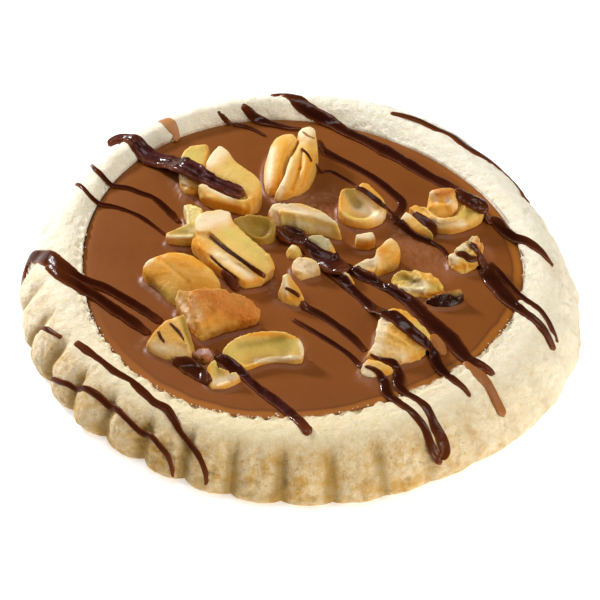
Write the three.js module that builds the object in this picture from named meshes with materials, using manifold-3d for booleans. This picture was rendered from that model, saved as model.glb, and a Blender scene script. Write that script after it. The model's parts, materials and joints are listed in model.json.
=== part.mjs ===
// A fluted shortcrust tartlet filled with milk chocolate, topped with broken cashews
// and drizzled with dark chocolate. Millimetres, +Z up. The origin is the middle of the
// base, +X is the tartlet's right and -Y its front, where the flutes are deepest.

import * as THREE from "three";
import { mergeVertices } from "three/addons/utils/BufferGeometryUtils.js";
import Module from "manifold-3d";

const wasm = await Module();
wasm.setup();

// ---- Driving dimensions ----

const CRUST_RADIUS = 50; // at the widest ring, just above the base
const WIDEST_HEIGHT = 1.6;
const FOOT_INSET = 1.2; // the resting face is this much smaller than the widest ring
const FILLING_RADIUS = 39.1;
const FILLING_LEVEL = 9.5;
const LIP_RISE = 0.25; // the crust's inner edge stands this much above the filling
const CREST_RISE = 1.2; // the top of the rim above the filling
const CREST_SHARE = 0.3; // how far out the crest lies between filling and widest ring
const SHOULDER_POWER = 1.2; // 1 is a round shoulder, 2 a straight slope
const FLOOR_THICKNESS = 3;
const GAP = 0.3; // between neighbouring pieces
const FINEST = 0.02; // detail smaller than this is left out

const FLUTES = 36;
const FLUTE_TURN = THREE.MathUtils.degToRad(6.5); // a groove lies this far round from +X
const FLUTE_SHALLOW = 0.22; // depth of a groove at the back right
const FLUTE_EXTRA = 1.4; // further depth at the front left
const FLUTE_DEEPEST = THREE.MathUtils.degToRad(222);
const FLUTE_FOCUS = 4; // higher keeps the deep grooves closer to the deepest one
const GROOVE_SHARPNESS = 1.5; // higher makes the grooves narrower
const FLUTE_START = 0.12; // where the grooves begin, as a share of the shoulder
const COLUMNS_PER_FLUTE = 5;

const FILLING_COLUMNS = 80;
const FILLING_RINGS = [1, 0.94, 0.75, 0.5, 0.25]; // shares of its radius
const FILLING_UNEVEN = 0.12;
const FILLING_EDGE_DROP = 0.35;

// Hand pressing leaves the rings uneven. A wave is [times round, cosine part, sine part].
const CRUST_WAVES = [[2, -0.2, -0.5], [3, -0.4, -0.4], [4, 0, -0.5], [5, 0.1, -0.45]];
const FILLING_WAVES = [[1, -0.85, 0.65], [2, 0.1, -0.4], [3, 1.1, -0.1], [4, 0, -0.15]];
const CREST_WAVES = [[1, -0.3, 0.9], [2, -0.5, 0]];

// The middle of the uneven outline, moved to the origin at the end.
const OUTLINE_MIDDLE = new THREE.Vector2(-0.1, -0.06);

// ---- Colours ----

const shortcrust = new THREE.MeshStandardMaterial({ color: "#e3d3ad", roughness: 0.8, metalness: 0 });
const milkChocolate = new THREE.MeshStandardMaterial({ color: "#84532c", roughness: 0.35, metalness: 0 });
const cashew = new THREE.MeshStandardMaterial({ color: "#dcb765", roughness: 0.5, metalness: 0 });

// ---- Broken cashews ----

// Each piece is swept along a path seen from above. Widths and heights are spaced evenly
// along it. base is how far its underside lies above the filling, hollow the depth of the
// channel along its top, and square its ends and section: 0.5 is boxy, 1 is round.
// A piece is cut clear of the ones listed before it, so those on top come first.
const PIECES = [
  { name: "cashew_saddle", path: [[-15.7, 6.5], [-13.2, 1.4], [-9.1, -3.7], [-6.1, -5.7]],
    widths: [7, 9, 9, 6], heights: [5, 5.5, 5, 4.5], base: 0.9, hollow: 0.8, square: 0.7 },
  { name: "cashew_trough", path: [[-14.7, 25.8], [-10.7, 21.7], [-9.6, 17.1], [-12.2, 14.1], [-16.2, 15.1]],
    widths: [4.5, 7, 6.5, 5.5, 4.5], heights: [6, 6.5, 6, 5.5, 5], hollow: 0.6, square: 0.75 },
  { name: "cashew_whole_left", path: [[-3, 30.3], [-5.1, 25.8], [-5.6, 20.2]],
    widths: [5, 5.5, 3.5], heights: [5.5, 5.5, 4], hollow: 0, square: 0.9 },
  { name: "cashew_whole_right", path: [[1.5, 31.3], [0.6, 24.7], [-3, 16.8]],
    widths: [4.8, 5.5, 3.8], heights: [5.5, 5.5, 4], hollow: 0, square: 0.9 },
  { name: "cashew_toasted", path: [[-19.5, -14.6], [-16.4, -16], [-12.4, -15.4], [-8.8, -14.9]],
    widths: [6, 9.5, 8, 4.5], heights: [5, 6.5, 6.2, 5], hollow: 0, square: 0.65 },
  { name: "cashew_rounded", path: [[-26.4, -6.2], [-21.3, -4.7], [-15.7, -8.2]],
    widths: [8, 9.5, 7], heights: [4.5, 5, 4.5], hollow: 0, square: 0.8 },
  { name: "cashew_crescent", path: [[-11.7, -26], [-7.1, -23.3], [-2.5, -22.6], [0, -24.2]],
    widths: [4.5, 5.6, 5.6, 4.4], heights: [3, 3.6, 3.6, 3.6], hollow: 1.1, square: 0.75 },
  { name: "cashew_flaky", path: [[15.7, -17.4], [17.6, -20.9], [15.2, -25]],
    widths: [5, 8.5, 7.5], heights: [4.5, 5, 4.5], hollow: 0, square: 0.7 },
  { name: "cashew_cup", path: [[8.1, 15.6], [8.3, 11.1], [11.6, 9.3], [14, 12], [13, 15.6]],
    widths: [4, 5, 5.2, 5, 4.6], heights: [5, 5, 4.5, 5, 5], hollow: 0.5, square: 0.8 },
  { name: "cashew_bar", path: [[-4.1, 11.1], [1, 9.9], [5.1, 6.3]],
    widths: [5, 6, 5], heights: [4.2, 4.4, 4], hollow: 0, square: 0.6 },
  { name: "cashew_sickle", path: [[20.8, 12.1], [23.9, 8.5], [27.9, 8], [31.5, 11.5]],
    widths: [3, 4.6, 4.8, 3.6], heights: [3.6, 4, 4, 3.6], hollow: 0.4, square: 0.8 },
  { name: "cashew_slice", path: [[-17.8, 26.8], [-19.8, 20.7], [-19.1, 15.4]],
    widths: [4.6, 5.4, 4.6], heights: [5, 4.6, 4], hollow: 0, square: 0.65 },
  { name: "cashew_fan", path: [[-25, -21.5], [-21.3, -21.5], [-18.7, -20.9]],
    widths: [4.5, 8, 7.6], heights: [4, 5, 4.5], hollow: 0, square: 0.65 },
  { name: "cashew_shell", path: [[-11.7, 8], [-7.7, 4.9], [-4.3, 6.5]],
    widths: [5, 6, 5], heights: [3.4, 3.4, 3.4], hollow: 1.6, square: 0.8 },
  { name: "cashew_forked", path: [[-20.8, 12.1], [-18.8, 7], [-20.3, 3], [-23.9, 4]],
    widths: [3, 4.6, 4.4, 2.8], heights: [4, 4, 3.6, 3.4], hollow: 0.5, square: 0.7 },
  { name: "cashew_oblong", path: [[10.1, -3.3], [13.7, -1.5], [16.7, 1.9]],
    widths: [3.6, 4.6, 4.4], heights: [3.6, 4.5, 4], hollow: 0, square: 0.7 },
  { name: "cashew_dimpled", path: [[16.7, -6.7], [20.3, -7.5], [24.2, -8.7]],
    widths: [5, 6, 5], heights: [3.4, 3.6, 3.4], hollow: 0.8, square: 0.8 },
  { name: "cashew_knob", path: [[23.1, 13.4], [25, 14], [27, 14]],
    widths: [5, 5.4, 5], heights: [5, 5.6, 5], hollow: 0, square: 0.8 },
  { name: "cashew_craggy", path: [[27.9, -2.3], [29.4, 0.8], [31, 3]],
    widths: [4.8, 5.4, 4.4], heights: [4, 4.5, 4], hollow: 0, square: 0.7 },
  { name: "cashew_nook", path: [[-14.8, -28], [-13.2, -31.1], [-10.4, -30.1]],
    widths: [3.4, 4.2, 3.8], heights: [3.4, 3.4, 3.4], hollow: 0.6, square: 0.75 },
  { name: "cashew_lump", path: [[-17.3, -25.6], [-16.2, -25.5], [-15, -25.2]],
    widths: [3.6, 4, 3.6], heights: [3.4, 3.8, 3.4], hollow: 0, square: 0.85 },
  { name: "cashew_wedge", path: [[-3, -6.1], [-2.4, -8.7], [-1.8, -11.4]],
    widths: [2.2, 3.6, 5], heights: [3.6, 3.8, 4], hollow: 0, square: 0.7 },
  { name: "cashew_pale", path: [[-1.2, -3.1], [0.6, -3.5], [2.6, -3.5]],
    widths: [4.2, 4.8, 4.2], heights: [3.6, 4, 3.6], hollow: 0, square: 0.75 },
  { name: "cashew_green", path: [[2.2, 4], [4.3, 2.6], [5.9, -0.4]],
    widths: [3.4, 4, 3.2], heights: [3.4, 3.6, 3], hollow: 0, square: 0.7 },
  { name: "cashew_cube", path: [[10.8, 4.6], [12, 4.4], [13.2, 4]],
    widths: [3.8, 4, 3.8], heights: [3.2, 3.2, 3], hollow: 0, square: 0.5 },
  { name: "cashew_sliver", path: [[18.5, 9.1], [19.9, 7.5], [21.5, 5.9]],
    widths: [2.6, 3.2, 2.8], heights: [2.8, 3, 2.8], hollow: 0, square: 0.7 },
  { name: "cashew_tip", path: [[11, -27.6], [12.6, -28.4], [14.4, -29]],
    widths: [3.4, 3.8, 3.2], heights: [3, 3.2, 2.8], hollow: 0, square: 0.75 },
  { name: "cashew_coated", path: [[22.7, -11.4], [25.4, -10.9], [27.8, -9.8]],
    widths: [2.8, 3.4, 3], heights: [2.6, 2.8, 2.6], hollow: 0, square: 0.8 },
];
const PIECE_STEP = 1.9; // about one ring of corners each so many millimetres
const PIECE_SIDES = 10;

// ---- Thick drizzle ----

// Each strand is poured along a path seen from above, and lies on whatever is below.
const STRANDS = [
  { width: 1.8, path: [[-48.9, -0.6], [-46.9, 1.8], [-43.9, -2.3], [-39.4, -4.8], [-34.8, -5.6],
    [-30.1, -9], [-24, -15.1]] },
  { width: 1.7, path: [[-42.9, -5.7], [-39.1, -8.6], [-32.1, -13.4], [-26.4, -18.4]] },
  { width: 1.7, path: [[-14.3, -23.4], [-10.6, -26.9], [-6.7, -31.9], [-3.5, -35.1], [1.4, -41.2]] },
  { width: 2.2, path: [[-20.7, -25.6], [-17.1, -27.9], [-15.3, -30.3]] },
  { width: 2.6, path: [[-37, 29.3], [-34, 32.1], [-31.1, 32.5], [-28, 29.4], [-21.9, 25.6],
    [-17.1, 22.3]] },
  { width: 3, path: [[-4.9, 8.5], [-1.9, 5.9], [0.7, 4], [3, 1], [7.8, -4.5]] },
  { width: 2.2, path: [[6.6, -2.2], [13.3, -7.9], [19.4, -12], [23.8, -16.6], [26.4, -20],
    [28.4, -24], [32.5, -28.8]] },
  { width: 1.9, path: [[5.2, -2.7], [11.3, -9], [17.3, -14.4], [21.8, -19.5], [23.2, -25.4],
    [28.7, -33.4]] },
  { width: 1.8, path: [[29.2, -30.3], [32.7, -33.3], [34.9, -35.7]] },
  { width: 2, path: [[30.8, 0.2], [33.9, -5.4], [36.6, -9.5], [40.1, -15.4], [43.6, -19.8]] },
  { width: 1.6, path: [[-4.5, 45], [-1, 44.6], [2.2, 40.8], [5.1, 38.1], [14.7, 31.3],
    [21.4, 25.8], [29, 19.1]] },
  { width: 1.6, path: [[34, 12.2], [37.5, 6.6], [40.2, 3.8], [44.3, -1]] },
  { width: 1.5, path: [[-38.5, -21.3], [-28.4, -31], [-22.3, -36.9], [-20.1, -40.2], [-15.8, -46.3]] },
];
const STRAND_RISE = 0.6; // height above what it lies on
const STRAND_DEPTH = 0.7; // how far it is sunk in, so that the two are one
const STRAND_STEP = 2.6;
const STRAND_SIDES = 6;

// ---- The uneven rings ----

function wavesAt(waves, angle) {
  return waves.reduce(
    (sum, [times, cosine, sine]) => sum + cosine * Math.cos(times * angle) + sine * Math.sin(times * angle),
    0,
  );
}

const widestRadius = (angle) => CRUST_RADIUS + wavesAt(CRUST_WAVES, angle);
const fillingRadius = (angle) => FILLING_RADIUS + wavesAt(FILLING_WAVES, angle);
const crestRadius = (angle) => THREE.MathUtils.lerp(fillingRadius(angle), widestRadius(angle), CREST_SHARE);
const crestHeight = (angle) => FILLING_LEVEL + CREST_RISE + wavesAt(CREST_WAVES, angle);

// Narrow grooves between round lobes: 1 in a groove, 0 along the middle of a lobe.
function groove(angle) {
  return (1 - Math.abs(Math.sin((FLUTES / 2) * (angle - FLUTE_TURN)))) ** GROOVE_SHARPNESS;
}

// How deep a groove is, all round the wall and from the crest (0) down to the widest ring (1).
function grooveDepth(angle, down) {
  const facing = 0.5 + 0.5 * Math.cos(angle - FLUTE_DEEPEST);
  const fade = THREE.MathUtils.smoothstep(down, FLUTE_START, 3 * FLUTE_START + 0.2);
  return (FLUTE_SHALLOW + FLUTE_EXTRA * facing ** FLUTE_FOCUS) * fade * groove(angle);
}

// The wall from the crest (down = 0) over the shoulder to the widest ring (down = 1).
function wall(angle, down) {
  const turn = (down * Math.PI) / 2;
  const out = Math.sin(turn);
  const up = Math.cos(turn);
  const depth = grooveDepth(angle, down);
  const radius = THREE.MathUtils.lerp(crestRadius(angle), widestRadius(angle), out ** SHOULDER_POWER);
  const height = THREE.MathUtils.lerp(WIDEST_HEIGHT, crestHeight(angle), up ** SHOULDER_POWER);
  return [radius - depth * out, height - depth * up];
}

// The height of the tartlet's surface, without its toppings, under a point seen from above.
function surfaceHeight(x, y) {
  const radius = Math.hypot(x, y);
  const angle = Math.atan2(y, x);
  const inner = fillingRadius(angle);
  const crest = crestRadius(angle);
  if (radius < inner) return FILLING_LEVEL;
  if (radius < crest) return rimHeight(angle, (radius - inner) / (crest - inner));
  const share = Math.min((radius - crest) / (widestRadius(angle) - crest), 1);
  const down = Math.asin(share ** (1 / SHOULDER_POWER)) / (Math.PI / 2);
  return wall(angle, down)[1] - grooveDepth(angle, down) * share;
}

// The rim's gentle rise from its inner edge (0) to the crest (1).
function rimHeight(angle, share) {
  const rise = Math.sin((share * Math.PI) / 2);
  return THREE.MathUtils.lerp(FILLING_LEVEL + LIP_RISE, crestHeight(angle), rise);
}

// ---- Geometry and solids ----

// Moves every corner of a geometry and joins the corners that meet.
function reshape(geometry, move) {
  const corners = geometry.attributes.position;
  const corner = new THREE.Vector3();
  for (let i = 0; i < corners.count; i += 1) {
    move(corner.fromBufferAttribute(corners, i));
    corners.setXYZ(i, corner.x, corner.y, corner.z);
  }
  geometry.deleteAttribute("normal");
  geometry.deleteAttribute("uv");
  return mergeVertices(geometry, 1e-4);
}

function toSolid(geometry) {
  const { array } = geometry.index;
  const triangles = [];
  for (let i = 0; i < array.length; i += 3) {
    const [a, b, c] = array.slice(i, i + 3);
    if (a !== b && b !== c && c !== a) triangles.push(a, b, c);
  }
  return new wasm.Manifold(new wasm.Mesh({
    numProp: 3,
    vertProperties: new Float32Array(geometry.attributes.position.array),
    triVerts: new Uint32Array(triangles),
  }));
}

// The largest piece of a solid, without the scraps that a cut may leave.
function largest(solid) {
  return solid.decompose().reduce((best, piece) => (piece.volume() > best.volume() ? piece : best));
}

function toMesh(name, solid, material) {
  const { vertProperties, triVerts } = largest(solid.simplify(FINEST)).getMesh();
  const geometry = new THREE.BufferGeometry();
  geometry.setAttribute("position", new THREE.BufferAttribute(vertProperties, 3));
  geometry.setIndex(new THREE.BufferAttribute(triVerts, 1));
  geometry.computeVertexNormals();
  const mesh = new THREE.Mesh(geometry, material);
  mesh.name = name;
  return mesh;
}

// A closed solid turned about the Z axis. Each row is a function of the angle that gives
// [radius, height]; the first and last rows lie on the axis. The columns begin in a groove.
function turned(rows, columns) {
  const last = rows.length - 1;
  const profile = rows.map((_, row) => new THREE.Vector2(row === 0 || row === last ? 0 : 1, row));
  const geometry = new THREE.LatheGeometry(profile, columns);
  geometry.rotateX(Math.PI / 2);
  const step = (2 * Math.PI) / columns;
  return toSolid(reshape(geometry, (corner) => {
    const column = Math.round(Math.atan2(corner.y, corner.x) / step);
    const angle = column * step + FLUTE_TURN;
    const [radius, height] = rows[Math.round(corner.z)](angle);
    corner.set(radius * Math.cos(angle), radius * Math.sin(angle), height);
  }));
}

// ---- Crust ----

const CRUST_COLUMNS = FLUTES * COLUMNS_PER_FLUTE;
const WALL_ROWS = [1, 0.85, 0.68, 0.5, 0.34, 0.2, 0.08]; // from the widest ring up to the crest
const RIM_ROW = 0.4; // one more ring part of the way from the filling to the crest

function crustSolid() {
  return turned([
    () => [0, 0],
    (angle) => [widestRadius(angle) - FOOT_INSET - grooveDepth(angle, 1), 0],
    ...WALL_ROWS.map((down) => (angle) => wall(angle, down)),
    (angle) => [crestRadius(angle), crestHeight(angle)],
    (angle) => [
      THREE.MathUtils.lerp(fillingRadius(angle), crestRadius(angle), RIM_ROW),
      rimHeight(angle, RIM_ROW),
    ],
    (angle) => [fillingRadius(angle), FILLING_LEVEL + LIP_RISE],
    (angle) => [fillingRadius(angle), FLOOR_THICKNESS],
    () => [0, FLOOR_THICKNESS],
  ], CRUST_COLUMNS);
}

// ---- Filling ----

// The poured top is a little uneven and draws down at its edge (share = 1).
function fillingTop(angle, share) {
  const uneven = FILLING_UNEVEN * Math.cos(3 * angle + 5 * share) * 4 * share * (1 - share);
  return FILLING_LEVEL + uneven - FILLING_EDGE_DROP * share ** 12;
}

function fillingSolid() {
  const edge = (angle) => fillingRadius(angle) - GAP;
  return turned([
    () => [0, FLOOR_THICKNESS + GAP],
    (angle) => [edge(angle), FLOOR_THICKNESS + GAP],
    ...FILLING_RINGS.map((share) => (angle) => [share * edge(angle), fillingTop(angle, share)]),
    () => [0, FILLING_LEVEL],
  ], FILLING_COLUMNS);
}

// A tall plug with the filling's outline parts the drizzle on the filling from the crust's.
function fillingPlug(inset) {
  const edge = (angle) => fillingRadius(angle) - inset;
  const top = 2 * FILLING_LEVEL;
  return turned([() => [0, 0], (angle) => [edge(angle), 0], (angle) => [edge(angle), top], () => [0, top]],
    CRUST_COLUMNS);
}

// ---- Sweeps ----

// Reads a list of values spaced evenly from 0 to 1.
function along(values, share) {
  const at = THREE.MathUtils.clamp(share, 0, 1) * (values.length - 1);
  const before = Math.min(Math.floor(at), values.length - 2);
  return THREE.MathUtils.lerp(values[before], values[before + 1], at - before);
}

function curveThrough(path) {
  return new THREE.CatmullRomCurve3(path.map(([x, y]) => new THREE.Vector3(x, y, 0)));
}

// The point beside a curve, side millimetres to its right, as seen from above.
function beside(curve, share, side) {
  const inside = THREE.MathUtils.clamp(share, 0, 1);
  const point = curve.getPoint(inside);
  const forward = curve.getTangent(inside);
  point.addScaledVector(forward, (share - inside) * curve.getLength());
  return point.add(new THREE.Vector3(forward.y * side, -forward.x * side, 0));
}

const power = (value, exponent) => Math.sign(value) * Math.abs(value) ** exponent;

// ---- Cashew pieces ----

// A sphere drawn out along the path: its poles become the ends, its girth the section.
function pieceSolid({ path, widths, heights, base = 0, hollow, square }, grow = 0) {
  const curve = curveThrough(path);
  const length = curve.getLength();
  const reach = Math.max(...widths) / 2 / length; // the rounded ends pass the path's ends
  const rings = Math.max(6, Math.round((length * (1 + reach)) / PIECE_STEP));
  const bottom = FILLING_LEVEL + GAP + base;
  const geometry = new THREE.SphereGeometry(1, PIECE_SIDES, rings);
  return toSolid(reshape(geometry, (corner) => {
    const girth = Math.hypot(corner.x, corner.z);
    const share = 0.5 + power(corner.y, square) * (0.5 + (0.5 * reach + grow / length));
    const scale = girth ** square;
    const side = girth > 1e-6 ? power(corner.x / girth, square) : 0;
    const up = girth > 1e-6 ? power(corner.z / girth, square) : 0;
    const width = (along(widths, share) + 2 * grow) * scale;
    const height = along(heights, share) * scale;
    const channel = Math.max(0, up) * hollow * scale * Math.max(0, 1 - (side / 0.65) ** 2);
    const place = beside(curve, share, (side * width) / 2);
    place.z = bottom + height / 2 + up * (height / 2 + grow * scale) - channel;
    corner.copy(place);
  }));
}

// ---- Strands ----

function strandSolid({ width, path }) {
  const curve = curveThrough(path);
  const steps = Math.max(3, Math.round(curve.getLength() / STRAND_STEP));
  const geometry = new THREE.CylinderGeometry(1, 1, 1, STRAND_SIDES, steps);
  return toSolid(reshape(geometry, (corner) => {
    const share = corner.y + 0.5;
    const middle = curve.getPoint(share);
    const ground = surfaceHeight(middle.x, middle.y);
    const place = beside(curve, share, (corner.x * width) / 2);
    place.z = ground + corner.z * (corner.z > 0 ? STRAND_RISE : STRAND_DEPTH);
    corner.copy(place);
  }));
}

// ---- The tartlet ----

const pieces = [];
for (const piece of PIECES) {
  let solid = pieceSolid(piece);
  for (const other of pieces) solid = solid.subtract(other.grown);
  pieces.push({ name: piece.name, solid: largest(solid), grown: pieceSolid(piece, GAP) });
}

const union = (solids) => solids.reduce((sum, solid) => sum.add(solid));
const drizzle = pieces.reduce(
  (rest, piece) => rest.subtract(piece.grown),
  union(STRANDS.map(strandSolid)),
);

const tartlet = new THREE.Group();
tartlet.add(toMesh("crust", crustSolid().add(drizzle.subtract(fillingPlug(0))), shortcrust));
tartlet.add(toMesh("filling", fillingSolid().add(drizzle.intersect(fillingPlug(GAP))), milkChocolate));
for (const { name, solid } of pieces) tartlet.add(toMesh(name, solid, cashew));
tartlet.position.set(-OUTLINE_MIDDLE.x, -OUTLINE_MIDDLE.y, 0);

export default tartlet;
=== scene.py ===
"""Dresses a fluted tartlet: shortcrust, milk chocolate, broken cashews and dark drizzle.

Lengths are millimetres until a mesh is made. +Z is up, +X the tartlet's right, -Y its front.
Places in the photograph are pixels of a 600 x 600 picture, x to the right and y down.
"""

import json
import math

import bpy
import numpy as np
from mathutils import Matrix, Vector

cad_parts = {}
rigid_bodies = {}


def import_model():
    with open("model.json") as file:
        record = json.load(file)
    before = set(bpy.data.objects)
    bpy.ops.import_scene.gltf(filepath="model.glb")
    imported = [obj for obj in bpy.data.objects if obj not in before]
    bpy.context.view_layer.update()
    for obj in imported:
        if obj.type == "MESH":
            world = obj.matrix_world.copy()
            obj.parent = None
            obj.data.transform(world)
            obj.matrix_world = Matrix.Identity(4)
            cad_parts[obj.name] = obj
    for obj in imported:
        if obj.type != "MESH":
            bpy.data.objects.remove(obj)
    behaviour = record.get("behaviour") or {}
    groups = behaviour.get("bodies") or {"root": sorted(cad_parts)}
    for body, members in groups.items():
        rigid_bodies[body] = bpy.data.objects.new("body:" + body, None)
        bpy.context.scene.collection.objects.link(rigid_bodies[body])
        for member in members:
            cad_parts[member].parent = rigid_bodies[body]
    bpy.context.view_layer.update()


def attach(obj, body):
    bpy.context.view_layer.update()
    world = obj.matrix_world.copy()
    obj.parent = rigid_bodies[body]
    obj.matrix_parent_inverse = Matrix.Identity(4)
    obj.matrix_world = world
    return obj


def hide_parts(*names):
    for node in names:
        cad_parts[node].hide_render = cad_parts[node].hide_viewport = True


bl_info = {
    "name": "Chocolate tartlet",
    "version": (1, 0, 0),
    "blender": (4, 5, 0),
    "location": "View3D > Sidebar > Tartlet",
    "description": "Crust, filling, cashews and drizzle of a chocolate tartlet",
    "category": "Object",
}

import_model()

MM = 0.001
BODY = "root"

# ---- Driving dimensions, as in the solids ----

CRUST_RADIUS = 50.0
WIDEST_HEIGHT = 1.6
FOOT_INSET = 1.2
FILLING_RADIUS = 39.1
FILLING_LEVEL = 9.5
LIP_RISE = 0.25
CREST_RISE = 1.2
CREST_SHARE = 0.3
SHOULDER_POWER = 1.2
FLOOR_THICKNESS = 3.0
GAP = 0.3
FLUTES = 36
FLUTE_TURN = math.radians(6.5)
FLUTE_SHALLOW = 0.22
FLUTE_EXTRA = 1.4
FLUTE_DEEPEST = math.radians(222)
FLUTE_FOCUS = 4
GROOVE_SHARPNESS = 1.5
FLUTE_START = 0.12
FILLING_UNEVEN = 0.12
FILLING_EDGE_DROP = 0.35
CRUST_WAVES = ((2, -0.2, -0.5), (3, -0.4, -0.4), (4, 0, -0.5), (5, 0.1, -0.45))
FILLING_WAVES = ((1, -0.85, 0.65), (2, 0.1, -0.4), (3, 1.1, -0.1), (4, 0, -0.15))
CREST_WAVES = ((1, -0.3, 0.9), (2, -0.5, 0))
OUTLINE_MIDDLE = np.array([-0.1, -0.06, 0])

# ---- Sides of the tartlet that look different, as angles about the upright axis ----

BAKED_SIDE = math.radians(252)
# the side where the painted shade in the grooves is strongest
GROOVE_SHADE_SIDE = math.radians(240)
CREAMY_SIDE = math.radians(-100)
STAINED_SIDE = math.radians(-50)  # chocolate on the crust's inner edge
THIN_SIDE = math.radians(-55)  # the filling thins at its edge
# painted shade darkens the gap between filling and crust on this side
PARTED_SIDE = math.radians(175)  # a dark gap between filling and crust

# ---- Crust and filling: how far across the lumps of their relief are, and their rings ----

LUMP_SIZE = 7
GRAIN_SIZE = 1.7
PIT_SIZE = 1.2
CRUMBLE_SIZE = 1.1
RIPPLE_SIZE = 1.1
SWELL_SIZE = 7
SWELL_RISE = 0.05
FOOT_RINGS = 6
WALL_RINGS = 52
RIM_RINGS = 22

# ---- The photograph's view ----

PICTURE = 600
CAMERA_DISTANCE = 480.0
CAMERA_HEIGHT_ANGLE = math.radians(43.5)
CAMERA_ROLL = math.radians(0.47)
FOCAL_PIXELS = 2667.0
MIDDLE_PIXEL = (300.4, 301.4)
SENSOR = 36.0
SIGHT_TOP = 20  # height from which a line of sight is followed down
SIGHT_STEPS = 1200
SIGHT_TRIES = 40
INWARD_STEP = 0.5  # pixels that a line of sight moves inward when it meets nothing
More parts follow.
